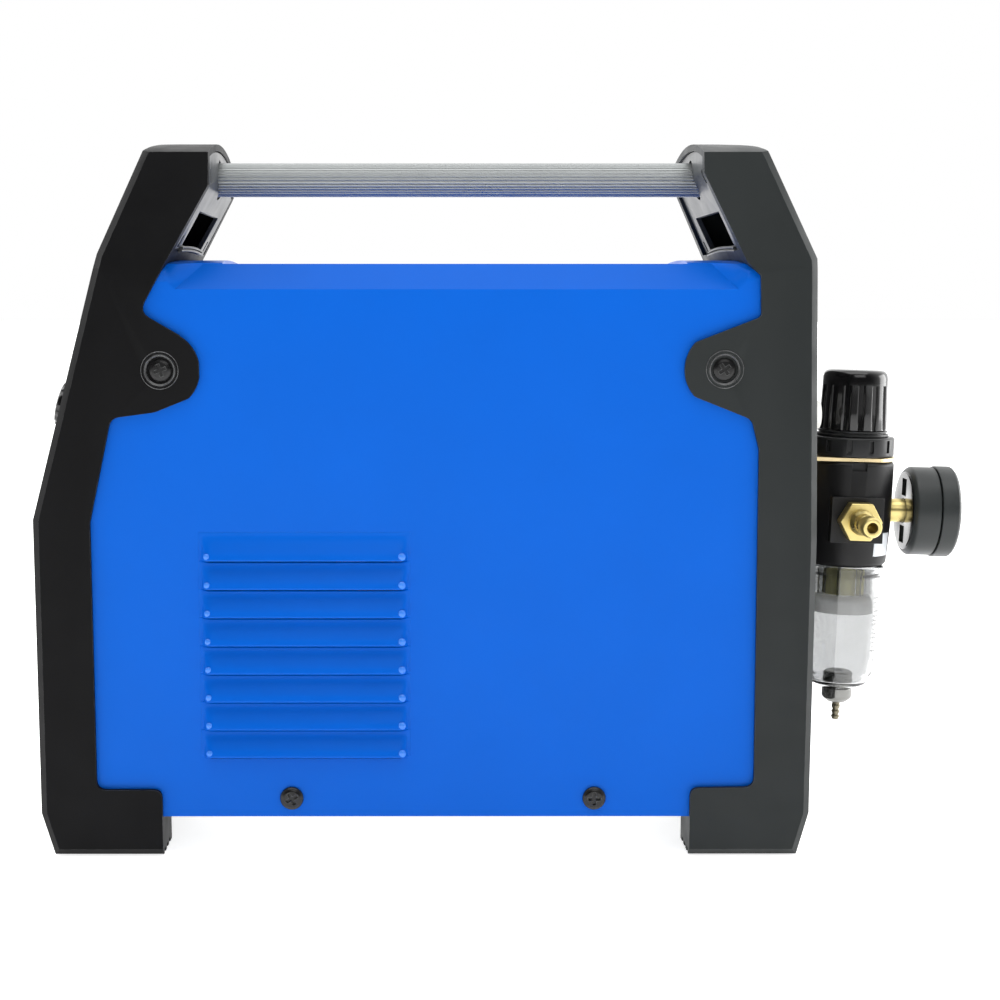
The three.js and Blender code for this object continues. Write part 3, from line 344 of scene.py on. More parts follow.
# ---------- materials ----------
class Nodes:
    """Small helper that lays out one material's nodes."""

    def __init__(self, name):
        self.material = bpy.data.materials.new(name)
        self.material.use_nodes = True
        self.tree = self.material.node_tree
        self.shader = self.tree.nodes["Principled BSDF"]
        self.place = self.add("ShaderNodeTexCoord").outputs["Object"]

    def add(self, kind, **values):
        node = self.tree.nodes.new(kind)
        for key, value in values.items():
            setattr(node, key, value)
        return node

    def link(self, source, target):
        self.tree.links.new(source, target)

    def noise(self, scale, detail=3.0, stretch=None):
        node = self.add("ShaderNodeTexNoise")
        node.inputs["Scale"].default_value = scale
        node.inputs["Detail"].default_value = detail
        source = self.place
        if stretch:
            mapping = self.add("ShaderNodeMapping")
            mapping.inputs["Scale"].default_value = stretch
            self.link(source, mapping.inputs["Vector"])
            source = mapping.outputs["Vector"]
        self.link(source, node.inputs["Vector"])
        return node.outputs["Fac"]

    def spread(self, source, low, high, start=0.3, end=0.7):
        node = self.add("ShaderNodeMapRange")
        node.inputs["From Min"].default_value = start
        node.inputs["From Max"].default_value = end
        node.inputs["To Min"].default_value = low
        node.inputs["To Max"].default_value = high
        self.link(source, node.inputs["Value"])
        return node.outputs["Result"]

    def blend(self, factor, first, second):
        node = self.add("ShaderNodeMix", data_type="RGBA")
        self.link(factor, node.inputs["Factor"])
        for value, socket in ((first, node.inputs[6]), (second, node.inputs[7])):
            if isinstance(value, tuple):
                socket.default_value = value
            else:
                self.link(value, socket)
        return node.outputs[2]

    def edges(self, width):
        """One on convex and concave edges within a width in millimetres, zero on flats."""
        bevel = self.add("ShaderNodeBevel", samples=4)
        bevel.inputs["Radius"].default_value = width * MM
        normal = self.add("ShaderNodeNewGeometry").outputs["Normal"]
        dot = self.add("ShaderNodeVectorMath", operation="DOT_PRODUCT")
        self.link(bevel.outputs["Normal"], dot.inputs[0])
        self.link(normal, dot.inputs[1])
        return self.spread(dot.outputs["Value"], 1.0, 0.0, 0.9, 0.995)

    def bump(self, source, strength, distance):
        node = self.add("ShaderNodeBump")
        node.inputs["Strength"].default_value = strength
        node.inputs["Distance"].default_value = distance * MM
        self.link(source, node.inputs["Height"])
        self.link(node.outputs["Normal"], self.shader.inputs["Normal"])


def finish(name, colour, roughness, metal=0.0, grain=900, relief=0.02, worn=None, wear=0.35, coat=0.0,
           variation=0.08, stretch=None, specular=0.5):
    """A painted, moulded or turned surface: broken colour, uneven gloss, fine relief and rubbed edges."""
    nodes = Nodes(name)
    shade = tuple(c * (1 - variation) for c in colour[:3]) + (1.0,)
    light = tuple(min(1.0, c * (1 + variation)) for c in colour[:3]) + (1.0,)
    tone = nodes.blend(nodes.spread(nodes.noise(22, 4.0), 0, 1), shade, light)
    if worn:
        speckle = nodes.spread(nodes.noise(260, 5.0), 0, 1, 0.35, 0.6)
        product = nodes.add("ShaderNodeMath", operation="MULTIPLY")
        nodes.link(nodes.edges(0.35), product.inputs[0])
        nodes.link(speckle, product.inputs[1])
        scaled = nodes.add("ShaderNodeMath", operation="MULTIPLY")
        nodes.link(product.outputs[0], scaled.inputs[0])
        scaled.inputs[1].default_value = wear
        tone = nodes.blend(scaled.outputs[0], tone, worn)
    nodes.link(tone, nodes.shader.inputs["Base Color"])
    rough = nodes.spread(nodes.noise(70, 4.0, stretch), roughness * 0.88, min(1.0, roughness * 1.12))
    nodes.link(rough, nodes.shader.inputs["Roughness"])
    nodes.shader.inputs["Metallic"].default_value = metal
    nodes.shader.inputs["Coat Weight"].default_value = coat
    nodes.shader.inputs["Coat Roughness"].default_value = 0.08
    nodes.shader.inputs["Specular IOR Level"].default_value = specular
    nodes.bump(nodes.noise(grain, 2.0, stretch), 0.35, relief)
    return nodes.material


def clear_plastic(name, tint, roughness):
    """A clear moulding whose tint and gloss vary a little."""
    nodes = Nodes(name)
    light = tuple(min(1.0, c * 1.05) for c in tint[:3]) + (1.0,)
    tone = nodes.blend(nodes.spread(nodes.noise(40), 0, 1), tint, light)
    nodes.link(tone, nodes.shader.inputs["Base Color"])
    rough = nodes.spread(nodes.noise(120), roughness * 0.6, roughness * 1.6)
    nodes.link(rough, nodes.shader.inputs["Roughness"])
    nodes.shader.inputs["Transmission Weight"].default_value = 1.0
    nodes.shader.inputs["IOR"].default_value = 1.56
    nodes.bump(nodes.noise(260), 0.15, 0.02)
    return nodes.material


PALE_WEAR = srgb(120, 122, 122)
BLACK = finish(
    "black_moulding", srgb(13, 13, 14), 0.5,
    grain=1500, relief=0.03, worn=PALE_WEAR, wear=0.3, specular=0.1,
)
# Same black moulding, painted lighter and more specular for the rear frame: painted light on the end that
# catches more light.
LIGHTENED_BLACK = finish(
    "black_moulding_painted_lit", srgb(31, 35, 35), 0.5,
    grain=1500, relief=0.03, worn=PALE_WEAR, wear=0.3, specular=0.25,
)
INSERT = finish("insert_moulding", srgb(50, 52, 53), 0.36, grain=1500, relief=0.02, worn=PALE_WEAR, wear=0.3)
BLUE = finish(
    "blue_powder_coat", srgb(0, 91, 197), 0.34,
    grain=1100, relief=0.006, variation=0.02, specular=0.1,
)
# Lighter, glossier blue for the louvre end domes: a painted highlight.
HIGHLIGHT_BLUE = finish("painted_highlight_blue", srgb(52, 124, 224), 0.22, grain=1100, relief=0.006, variation=0.06)
ALUMINIUM = finish(
    "extruded_aluminium", srgb(150, 153, 153), 0.34,
    metal=0.7, grain=900, relief=0.001, variation=0.04,
)
SCREW = finish(
    "blackened_screw", srgb(11, 11, 12), 0.28,
    grain=700, relief=0.01, worn=PALE_WEAR, wear=0.9, specular=0.4,
)
STEEL = finish("plated_steel", srgb(168, 170, 172), 0.3, metal=0.9, grain=500, relief=0.012)
BRASS = finish("turned_brass", srgb(210, 192, 128), 0.3, metal=0.9, grain=420, relief=0.008, variation=0.07)
CHROME = finish(
    "bright_fitting", srgb(128, 128, 125), 0.24,
    metal=0.9, grain=300, relief=0.003, variation=0.1,
)
GREY_BRASS = finish("dull_brass", srgb(122, 116, 98), 0.35, metal=0.8, grain=420, relief=0.01, variation=0.1)
GLOSS = finish(
    "gloss_black", srgb(11, 11, 12), 0.16,
    grain=400, relief=0.001, coat=0.3, variation=0.2, specular=0.4,
)
SATIN = finish(
    "satin_black", srgb(24, 25, 26), 0.36,
    grain=900, relief=0.015, worn=PALE_WEAR, wear=0.25, specular=0.35,
)
CASE = finish(
    "gauge_black", srgb(38, 42, 42), 0.42,
    grain=900, relief=0.012, worn=PALE_WEAR, wear=0.2, specular=0.4,
)
BODY = finish(
    "cast_black", srgb(22, 22, 23), 0.44,
    grain=1300, relief=0.03, worn=PALE_WEAR, wear=0.25, specular=0.3,
)
CUP = finish("polished_moulding", srgb(44, 45, 46), 0.22, grain=900, relief=0.003, worn=PALE_WEAR, wear=0.9)
RUBBER = finish("fan_black", srgb(22, 22, 22), 0.6, grain=800, relief=0.02)
PANEL = finish("panel_black", srgb(30, 31, 32), 0.45, grain=1000, relief=0.015)
ZINC = finish("yellow_zinc", srgb(226, 206, 160), 0.34, metal=0.55, grain=400, relief=0.008, variation=0.12)
WHITE = finish("white_nylon", srgb(232, 232, 228), 0.5, grain=500, relief=0.008, variation=0.03)
BRONZE = finish("sintered_bronze", srgb(252, 232, 168), 0.9, metal=0.0, grain=3000, relief=0.3, variation=0.2)
BOARD = finish("circuit_board", srgb(28, 92, 60), 0.5, grain=600, relief=0.02)
COPPER = finish(
    "copper_winding", srgb(150, 82, 46), 0.4,
    metal=0.6, grain=300, relief=0.05, stretch=(1, 1, 12),
)
RED = finish("red_cap", srgb(178, 24, 24), 0.2, coat=0.4, grain=300, relief=0.003)
GREEN_LENS = finish("green_lens", srgb(40, 190, 80), 0.15, coat=0.6, grain=200, relief=0.003)
AMBER_LENS = finish("amber_lens", srgb(230, 160, 30), 0.15, coat=0.6, grain=200, relief=0.003)
RED_LENS = finish("red_lens", srgb(205, 50, 36), 0.15, coat=0.6, grain=200, relief=0.003)
CLEAR = clear_plastic("clear_polycarbonate", (0.52, 0.525, 0.525, 1.0), 0.03)
LENS = clear_plastic("gauge_window", (0.97, 0.98, 0.98, 1.0), 0.03)
BAFFLE = clear_plastic("milky_nylon", (0.93, 0.93, 0.925, 1.0), 0.55)
PRINT = finish("white_print", srgb(225, 226, 226), 0.4, grain=500, relief=0.003, variation=0.02)
PRINTED_GREY = finish("grey_print", srgb(128, 128, 126), 0.5, grain=500, relief=0.003)
LABEL = finish("blank_label", srgb(226, 230, 234), 0.35, grain=500, relief=0.003, variation=0.03)


# ---------- end frames and inserts ----------
def end_frame(end, material, screw, ear):
    """End frame whose ear is a round tab about its screw."""
    middle, below, above = ear
    made = piece(f"{end}_end_frame", copied(f"{end}_bezel"), material, f"{end}_bezel")
    outline = []
    arcs = ((EAR_RADIUS, -below, above), (EAR_RADIUS + EAR_WASTE, above, -below))
    for radius, start, stop in arcs:
        for i in range(EAR_STEPS + 1):
            turn = math.radians(middle + start + (stop - start) * i / EAR_STEPS)
            outline.append((radius * math.cos(turn), radius * math.sin(turn)))
    upright = at(screw[0], 0, screw[1]) @ Matrix.Rotation(math.pi / 2, 4, "X")
    carve(made, cutter_placed(prism(outline, -PAST_BODY, PAST_BODY), upright))
    smooth_shade(made)
    ease(made, 0.8, 3)


end_frame("front", BLACK, FRONT_SCREW, FRONT_EAR)
# The rear frame takes the lighter copy of the black moulding: painted light.
end_frame("rear", LIGHTENED_BLACK, REAR_SCREW, REAR_EAR)
for end in ("front", "rear"):
    node = f"{end}_handle_insert"
    ease(piece(f"{end}_grip_insert", copied(node), INSERT, node), 0.3)


def grip_ledges(end, insert, inward):
    """Two curved lips on the inner face of a grip insert, below its window."""
    face, knee, slope = insert
    parts = []
    for middle, half, proud in ((INSERT_FOOT + 1.0, 36, 1.2), (INSERT_FOOT - 0.5, 38, 1.9)):
        lip = (
            (-0.4, -0.55), (proud, -0.5), (proud + 0.25, 0), (proud - 0.1, 0.45), (-0.4, 0.5),
        )
        rows = []
        bm = bmesh.new()
        for i in range(25):
            t = 2 * i / 24 - 1
            z = middle + 0.9 * (1 - t * t)
            x = face - inward * slope * (knee - z)
            row = []
            for along, rise in lip:
                row.append(bm.verts.new((x + inward * along, half * t, z + rise)))
            rows.append(row)
        join_rings(bm, rows)
        bm.faces.new(rows[0])
        bm.faces.new(rows[-1])
        parts.append((bm, at(0, 0, 0)))
    piece(f"{end}_grip_ledges", merged(*parts), INSERT, f"{end}_handle_insert")


grip_ledges("front", FRONT_INSERT, 1)
grip_ledges("rear", REAR_INSERT, -1)


# ---------- cover with pressed louvres ----------
def louvre_height(x, z, lip):
    """How far the pressed sheet stands out, in millimetres."""
    rise = (z - lip) / LOUVRE_RISE
    end = min(x - LOUVRE_X[0], LOUVRE_X[1] - x)
    if rise > 1 or end <= 0:
        return 0.0
    reach = LOUVRE_CAP * (1 + 0.6 * rise)
    across = 1.0 if end >= reach else math.sqrt(1 - ((reach - end) / reach) ** 2)
    return LOUVRE_PROUD * across * (1 - rise) ** 2 * (1 + 2 * rise)


def slit(x, above, top):
    """How far a strip stops short of the lip over it, so that the slot is open."""
    end = min(x - LOUVRE_X[0], LOUVRE_X[1] - x) / LOUVRE_CAP
    if above > top - 0.01 or end <= 0:
        return 0.0
    return LOUVRE_SLIT * min(1.0, end) ** 0.5


def louvre_corners(side):
    """Rounded domes at both ends of each lip, in a lighter blue that is painted highlight."""
    parts = []
    for k in range(LOUVRES):
        for x, size in ((LOUVRE_X[0] + 2.3, 1.45), (LOUVRE_X[1] - 2.2, 1.75)):
            dome = bmesh.new()
            bmesh.ops.create_uvsphere(dome, u_segments=20, v_segments=12, radius=1)
            squash = Matrix.Diagonal((size, size * 0.62, size, 1))
            z = LOUVRE_FIRST + k * LOUVRE_PITCH + 1.9
            out = COVER_HALF + louvre_height(x, z, LOUVRE_FIRST + k * LOUVRE_PITCH) - 0.25
            parts.append((dome, at(x, side * out, z) @ squash))
    return merged(*parts)


def louvre_bank(side):
    """Strips of sheet between one lip and the next, each open below its lip."""
    bm = bmesh.new()
    x0, x1 = LOUVRE_X[0] - LOUVRE_EDGE, LOUVRE_X[1] + LOUVRE_EDGE
    top = LOUVRE_FIRST + LOUVRES * LOUVRE_PITCH
    cap = LOUVRE_EDGE + 1.8 * LOUVRE_CAP
    fine = [cap * i / 20 for i in range(21)]
    middle = [x0 + cap + (x1 - x0 - 2 * cap) * i / 24 for i in range(1, 24)]
    columns = [x0 + step for step in fine] + middle + [x1 - cap + step for step in fine]
    for k in range(LOUVRES):
        lip = LOUVRE_FIRST + k * LOUVRE_PITCH
        above = min(lip + LOUVRE_PITCH, top)
        rows = 18
        grid = []
        for r in range(rows + 1):
            z = lip + (above - lip) * r / rows
            row = []
            for x in columns:
                out = COVER_HALF + louvre_height(x, z, lip)
                row.append(bm.verts.new((x, side * out, z - slit(x, above, top) * r / rows)))
            grid.append(row)
        join_rings(bm, grid, closed=False)
    return bm


def eased_shoulder(bm):
    """Rolls the outer folds of the raised shoulder."""
    folds = []
    for edge in bm.edges:
        low = min(v.co.z for v in edge.verts)
        if len(edge.link_faces) != 2 or low < SHOULDER_Z * MM or edge.calc_length() < 8 * MM:
            continue
        first, second = edge.link_faces
        outward = (first.normal + second.normal).normalized()
        middle = (edge.verts[0].co + edge.verts[1].co) / 2
        bend = math.degrees(edge.calc_face_angle(0))
        if 12 < bend < 70 and outward.dot(middle - Vector((0, 0, COVER_MIDDLE_Z * MM))) > 0:
            folds.append(edge)
    bmesh.ops.bevel(
        bm, geom=folds, offset=FOLD * MM, segments=4, profile=0.5, affect="EDGES", clamp_overlap=True
    )
    return bm


def cover():
    """Folded sheet with a bank of louvres let into each side."""
    shell = piece("cover_shell", eased_shoulder(copied("top_cover")), BLUE, "top_cover")
    x0, x1 = LOUVRE_X[0] - LOUVRE_EDGE, LOUVRE_X[1] + LOUVRE_EDGE
    z0, z1 = LOUVRE_FIRST, LOUVRE_FIRST + LOUVRES * LOUVRE_PITCH
    for side in (-1, 1):
        window = block(x0, x1, min(side * 50, side * 66), max(side * 50, side * 66), z0, z1)
        bmesh.ops.transform(window, matrix=at(0, 0, 0), verts=window.verts)
        carve(shell, window)
        label = "right" if side < 0 else "left"
        strips = louvre_bank(side)
        bank = piece(f"louvres_{label}", strips, BLUE, "top_cover", place=at(0, 0, 0), angle=50)
        # The end domes carry a painted highlight in a lighter blue.
        piece(f"louvre_corners_{label}", louvre_corners(side), HIGHLIGHT_BLUE, "top_cover")
        thick = bank.modifiers.new("sheet", "SOLIDIFY")
        thick.thickness = SHEET * MM
        thick.offset = -1
    smooth_shade(shell)
    even = shell.modifiers.new("flat_faces", "WEIGHTED_NORMAL")
    even.keep_sharp = True
    even.weight = 100


cover()


# ---------- handle ----------
def carrying_bar():
    """Extrusion with fine rounded ribs along it."""
    points = []
    for i in range(BAR_RIBS * RIB_STEPS):
        turn = 2 * math.pi * i / (BAR_RIBS * RIB_STEPS)
        wave = abs(math.sin(BAR_RIBS * turn / 2))
        radius = BAR_RADIUS - RIB_DEPTH * (1 - wave) ** 2
        points.append((radius * math.cos(turn), radius * math.sin(turn)))
    bar = prism(points, 0, BAR_LENGTH)
    place = aimed(BAR_START, 0, BAR_Z, (1, 0, 0))
    piece("carrying_bar", bar, ALUMINIUM, "handle_bar", angle=60, place=place)


carrying_bar()


# ---------- screws ----------
def pan_head(radius, height):
    """Screw head and the top of its shank, head base at local zero."""
    profile = [
        (0, -3), (1.9, -3), (1.9, 0), (radius, 0),
        (radius, height * 0.4), (radius * 0.72, height * 0.86), (0, height),
    ]
    return lathe(softened(profile, 0.5), 48)


def cross(arm, half):
    """Outline of a cross recess."""
    corner = [(arm, -half), (arm, half), (half, half)]
    points = []
    for quarter in range(4):
        for x, y in corner:
            turn = math.radians(90 * quarter)
            points.append((x * math.cos(turn) - y * math.sin(turn), x * math.sin(turn) + y * math.cos(turn)))
    return points


def screw(name, node, place, radius, height, turn):
    """Pan head screw with a cross recess."""
    spun = place @ Matrix.Rotation(turn, 4, "Z")
    made = piece(name, pan_head(radius, height), SCREW, node, place=spun)
    recess = prism(cross(radius * 0.56, radius * 0.15), height * 0.3, height * 2)
    carve(made, cutter_placed(recess, spun))
    made.data.set_sharp_from_angle(angle=math.radians(35))


def screw_cup(name, node, place):
    """Moulded ring and inner collar round a sunk screw."""
    ring = softened([(7.7, -0.5), (8.3, -0.5), (8.3, 0.1), (8.05, 0.4), (7.8, 0.1), (7.7, -0.5)], 0.1, 2)
    sleeve = [(5.8, -0.9), (6.9, -0.9), (6.9, 0.0), (6.5, 0.3), (5.8, -0.35), (5.8, -0.9)]
    collar = softened(sleeve, 0.1, 2)
    piece(name, merged((lathe(ring), place), (lathe(collar), place)), CUP, node)


for side, label in ((-1, "right"), (1, "left")):
    for end, (x, z), turn in (("front", FRONT_SCREW, 0.35), ("rear", REAR_SCREW, 0.6)):
        spot = aimed(x, side * 57.2, z, (0, side, 0))
        screw(f"{end}_frame_screw_{label}", f"{end}_bezel_screw_{label}", spot, 5, 1.5, turn)
        rim = aimed(x, side * 59, z, (0, side, 0))
        screw_cup(f"{end}_screw_cup_{label}", f"{end}_bezel", rim)
    for end, x, turn in (("front", COVER_SCREW_X[0], 0.5), ("rear", COVER_SCREW_X[1], 0.0)):
        spot = aimed(x, side * (COVER_HALF + 0.1), COVER_SCREW_Z, (0, side, 0))
        screw(f"{end}_side_screw_{label}", f"cover_screw_{end}_{label}", spot, 5.2, 2.4, turn)


# ---------- filter regulator ----------
def knob_form():
    """Ribbed skirt under a smooth shoulder."""
    steps = KNOB_RIBS * 14
    rows = [
        (15.3, 0, 0.4), (15.6, 0.8, 0.9), (15.35, 8, 0.9), (15.1, 15, 0.9), (14.95, 20.4, 0.9),
        (14.95, 20.5, 0), (14.85, 24.0, 0), (14.4, 25.8, 0), (13.4, 27.0, 0), (11.5, 27.6, 0),
    ]
    bm = bmesh.new()
    rings = []
    for radius, height, depth in rows:
        ring = []
        for i in range(steps):
            turn = 2 * math.pi * i / steps
            groove = min(1.0, max(0.0, -math.cos(KNOB_RIBS * turn) - 0.1) * 2.2)
            r = radius - depth * groove
            ring.append(bm.verts.new((r * math.cos(turn), r * math.sin(turn), KNOB_BASE + height)))
        rings.append(ring)
    join_rings(bm, rings)
    bm.faces.new(rings[-1])
    bm.faces.new(rings[0])
    return bm


def turned(name, profile, material, node, radius, steps=4, segments=72, angle=SHARP):
    """Lathed part of the regulator, on its axis, with its corners softened."""
    bm = lathe(softened(profile, radius, steps), segments)
    return piece(name, bm, material, node, place=REGULATOR, angle=angle)


def about_axis(degrees):
    """Regulator's own place, turned about its axis."""
    return REGULATOR @ Matrix.Rotation(math.radians(degrees), 4, "Z")


def regulator_top():
    """Knob, bonnet flanges and castellated lock ring."""
    piece("pressure_knob_cap", knob_form(), GLOSS, "regulator_knob", place=REGULATOR, angle=50)
    bonnet = [
        (0, 0.4), (15, 0.4), (15, 10.8), (16.4, 11.0), (16.4, 12.2), (15.2, 12.4), (15.2, 12.9),
        (16.0, 13.0), (16.0, 13.6), (13, 13.7), (0, 13.7),
    ]
    turned("bonnet_flanges", bonnet, SATIN, "regulator_bonnet", 0.3, 2)
    ring = [
        (15.4, 2.0), (19.2, 2.0), (19.4, 2.4), (19.4, 10.2), (18.8, 10.8), (15.4, 10.8), (15.4, 2.0),
    ]
    lock = turned("lock_ring_castellated", ring, SATIN, "regulator_lock_ring", 0.3, 2, 96)
    notches = []
    for i in range(LOCK_NOTCHES):
        notches.append((block(18.2, 21, -1.0, 1.0, 4.0, 9.6), about_axis(30 * i + 15)))
    carve(lock, merged(*notches))
    ease(lock, 0.25, 2)


def bowl_and_filter():
    """Clear bowl, with the porous filter and its baffle inside."""
    bowl = [
        (15.9, -45), (15.9, -49.3), (18.3, -49.3), (18.3, -52.4), (17.3, -53.6), (16.9, -74),
        (16.4, -94), (15.6, -101), (13.2, -105.8), (9.0, -108), (5.4, -108), (5.4, -105.8),
        (8.2, -105.8), (11.6, -104), (13.6, -100), (14.6, -93), (15.1, -74), (15.1, -54),
        (14.6, -52), (14.6, -45), (15.9, -45),
    ]
    turned("clear_bowl", bowl, CLEAR, "filter_bowl", 0.9, 4, 96, 60)
    element = [(3.4, -44.9), (9.6, -44.9), (9.6, -63), (3.4, -63), (3.4, -44.9)]
    turned("bronze_filter", element, BRONZE, "filter_element", 0.4)
    guides = []
    for i in range(FILTER_GUIDES):
        guides.append((block(9.9, 13.2, -0.5, 0.5, -62.8, -47), about_axis(45 * i + 22)))
    piece("filter_guides", merged(*guides), CLEAR, "filter_bowl")
    baffle = [
        (0, -41), (3, -41), (3, -63.3), (12.6, -63.3), (13.8, -66.4), (14.3, -71.6), (13.5, -71.6),
        (12.4, -65.4), (4, -65.4), (3.4, -72), (0, -72),
    ]
    turned("milky_baffle", baffle, BAFFLE, "filter_baffle", 0.3)


def drain():
    """Turned drain under the bowl, and its barbed pin."""
    fitting = [
        (2.2, -115.4), (4.6, -115.4), (6.6, -113.6), (7.1, -112.6), (7.1, -108.4), (5, -108.4),
        (5, -105.4), (7, -105.4), (7, -101.8), (5.8, -100.7), (2.2, -100.7), (2.2, -115.4),
    ]
    turned("drain_fitting", fitting, CHROME, "drain_valve", 0.35)
    pin = [
        (0, -124.3), (1.4, -124.3), (2.1, -122.6), (1.4, -121.9), (2.1, -120.2), (1.4, -119.5),
        (2.1, -117.8), (1.8, -116.8), (1.8, -103.2), (0, -103.2),
    ]
    turned("drain_barb", pin, GREY_BRASS, "drain_nipple", 0.2, 2, 40)


def housing():
    """Cast body with a square port pad, a locating notch and its label."""
    body = piece("regulator_housing", regulator_housing(), BODY, "regulator_body")
    notch = block(-3.4, 3.4, -22, -17.6, -4.2, 1)
    bmesh.ops.transform(notch, matrix=REGULATOR, verts=notch.verts)
    carve(body, notch)
    ease(body, 0.3, 2)
    blank_label()


def blank_label():
    """White film that follows the barrel, with nothing printed on it."""
    label = bmesh.new()
    rows = []
    for height in (-43.6, -42.9, -38, -33.6, -32.9):
        radius = BODY_RADIUS + 0.08 - max(0.0, (-30 - height)) * 0.063
        row = []
        for k in range(13):
            turn = math.radians(-62 + 34 * k / 12)
            row.append(label.verts.new((radius * math.cos(turn), radius * math.sin(turn), height)))
        rows.append(row)
    join_rings(label, rows, closed=False)
    patch = piece("blank_label", label, LABEL, "regulator_body", place=REGULATOR, angle=60)
    thick = patch.modifiers.new("film", "SOLIDIFY")
    thick.thickness = 0.15 * MM
    thick.offset = 0


def regulator_housing():
    """Barrel and port pad of the cast body."""
    profile = [
        (16.3, -44.6), (16.3, -48.9), (17.2, -49), (18.7, -47.4), (BODY_RADIUS, -30),
        (BODY_RADIUS, -1.6), (BODY_RADIUS - 1, -0.4), (0, -0.4),
    ]
    barrel = [(0, -44.6)] + softened(profile, 0.5)
    pad_y = block(-12, 12, -20.7, 20.7, PORT_Z - 10.5, PORT_Z + 10.5)
    return merged((lathe(barrel, 96), REGULATOR), (pad_y, REGULATOR))


def nipple():
    """Brass hexagon with a hollow hose stem."""
    place = on_regulator(0, -20.9, PORT_Z, (0, -1, 0))
    hexagon = []
    for i in range(6):
        turn = math.radians(60 * i)
        corner = NUT_FLATS / math.sqrt(3)
        hexagon.append((corner * math.cos(turn), corner * math.sin(turn)))
    nut = piece("inlet_nut", prism(hexagon, 0.2, 7.4), BRASS, "air_inlet_nipple", place=place)
    ease(nut, 0.5, 2, 30)
    stem = [
        (2.4, -8), (5, -8), (5, 0), (5.8, 0.4), (5.8, 9.4), (4.6, 11.4), (4.3, 12), (4.3, 15.6),
        (3.7, 16.6), (3.7, 19.2), (4.7, 20.4), (4.7, 26.8), (4.0, 28.2), (2.4, 28.2), (2.4, -8),
    ]
    tube = lathe(softened(stem, 0.3, 3), 64)
    piece("inlet_stem", tube, BRASS, "air_inlet_nipple", place=place)


def bowl_marks():
    """Raised level lines down the bowl, with no figures."""
    marks = []
    for i in range(13):
        height = -64 - i * 2.1
        reach = 9 if i % 3 == 0 else 5
        lift = on_bowl(height)
        for k in range(reach):
            tick = block(lift - 0.05, lift + 0.2, -0.36, 0.36, height - 0.13, height + 0.13)
            marks.append((tick, about_axis(-40 + k * 2.2)))
    piece("bowl_level_marks", merged(*marks), PRINTED_GREY, "filter_bowl")


def on_bowl(height):
    """Radius of the bowl's outside at a height."""
    return BOWL_RADIUS if height > -74 else BOWL_RADIUS - 0.5 * (-74 - height) / 20


regulator_top()
housing()
bowl_and_filter()
drain()
nipple()
bowl_marks()


# ---------- pressure gauge ----------
def gauge_shell(place):
    """Case with a raised ring on its back, and two slots through both."""
    case = [
        (0, 0), (GAUGE_RADIUS - 2.4, 0), (GAUGE_RADIUS - 0.6, 1.8), (GAUGE_RADIUS - 0.6, 12.4),
        (GAUGE_RADIUS - 2, 12.4), (GAUGE_RADIUS - 2, 2), (0, 2),
    ]
    made = piece("gauge_shell", lathe(softened(case, 0.8), 96), CASE, "gauge_case", place=place)
    ring = softened([(5.9, 0.2), (5.9, -0.35), (17.6, -0.35), (18.4, 0.2), (5.9, 0.2)], 0.15, 2)
    back = piece("gauge_back", lathe(ring, 96), GLOSS, "gauge_case", place=place)
    for x0, x1 in ((-15, -7), (7, 15)):
        slot = block(x0, x1, -3.8, 3.8, -1, 1.0)
        bmesh.ops.transform(slot, matrix=place, verts=slot.verts)
        for target in (made, back):
            carve(target, slot.copy())
            target.data.set_sharp_from_angle(angle=math.radians(SHARP))
        slot.free()


def gauge_front(place):
    """Ring, window and dial with plain graduations."""
    bezel = [
        (GAUGE_RADIUS - 2.6, 12.8), (GAUGE_RADIUS, 12.8), (GAUGE_RADIUS, GAUGE_DEPTH - 1.4),
        (GAUGE_RADIUS - 1.4, GAUGE_DEPTH), (GAUGE_RADIUS - 3.4, GAUGE_DEPTH),
        (GAUGE_RADIUS - 3.4, GAUGE_DEPTH - 1.2), (GAUGE_RADIUS - 2.6, GAUGE_DEPTH - 1.2),
        (GAUGE_RADIUS - 2.6, 12.8),
    ]
    piece("gauge_ring", lathe(softened(bezel, 0.5), 96), CASE, "gauge_cover", place=place)
    inner = GAUGE_RADIUS - 2.9
    pane = [
        (0, GAUGE_DEPTH - 2.7), (inner, GAUGE_DEPTH - 2.7), (inner, GAUGE_DEPTH - 1.5),
        (0, GAUGE_DEPTH - 1.5),
    ]
    piece("gauge_glass", lathe(softened(pane, 0.2)), LENS, "gauge_lens", place=place)
    face = [(1.4, 12.9), (inner, 12.9), (inner, 13.7), (1.4, 13.7), (1.4, 12.9)]
    piece("gauge_face", lathe(face), WHITE, "gauge_dial", place=place)
    ticks = []
    for i in range(28):
        start, half = (13.2, 0.28) if i % 3 == 0 else (14.6, 0.14)
        tick = block(start, 16.6, -half, half, 13.65, 13.8)
        ticks.append((tick, place @ Matrix.Rotation(math.radians(-45 + 10 * i), 4, "Z")))
    piece("gauge_ticks", merged(*ticks), GLOSS, "gauge_dial")


def gauge_spigot(place):
    """Threaded brass stem between the body and the gauge."""
    stem = [(0, -14.5), (5.2, -14.5)]
    for i in range(5):
        stem += [(5.2, -13.6 + 1.1 * i), (4.6, -13.05 + 1.1 * i)]
    stem += [(5.2, -8.1), (5.5, -7.6), (5.5, -0.3), (0, -0.3)]
    piece("gauge_spigot", lathe(stem, 48), BRASS, "gauge_stem", place=place)


def gauge():
    place = on_regulator(GAUGE_BACK, 0, GAUGE_DROP, (1, 0, 0))
    gauge_shell(place)
    gauge_front(place)
    gauge_spigot(place)


gauge()


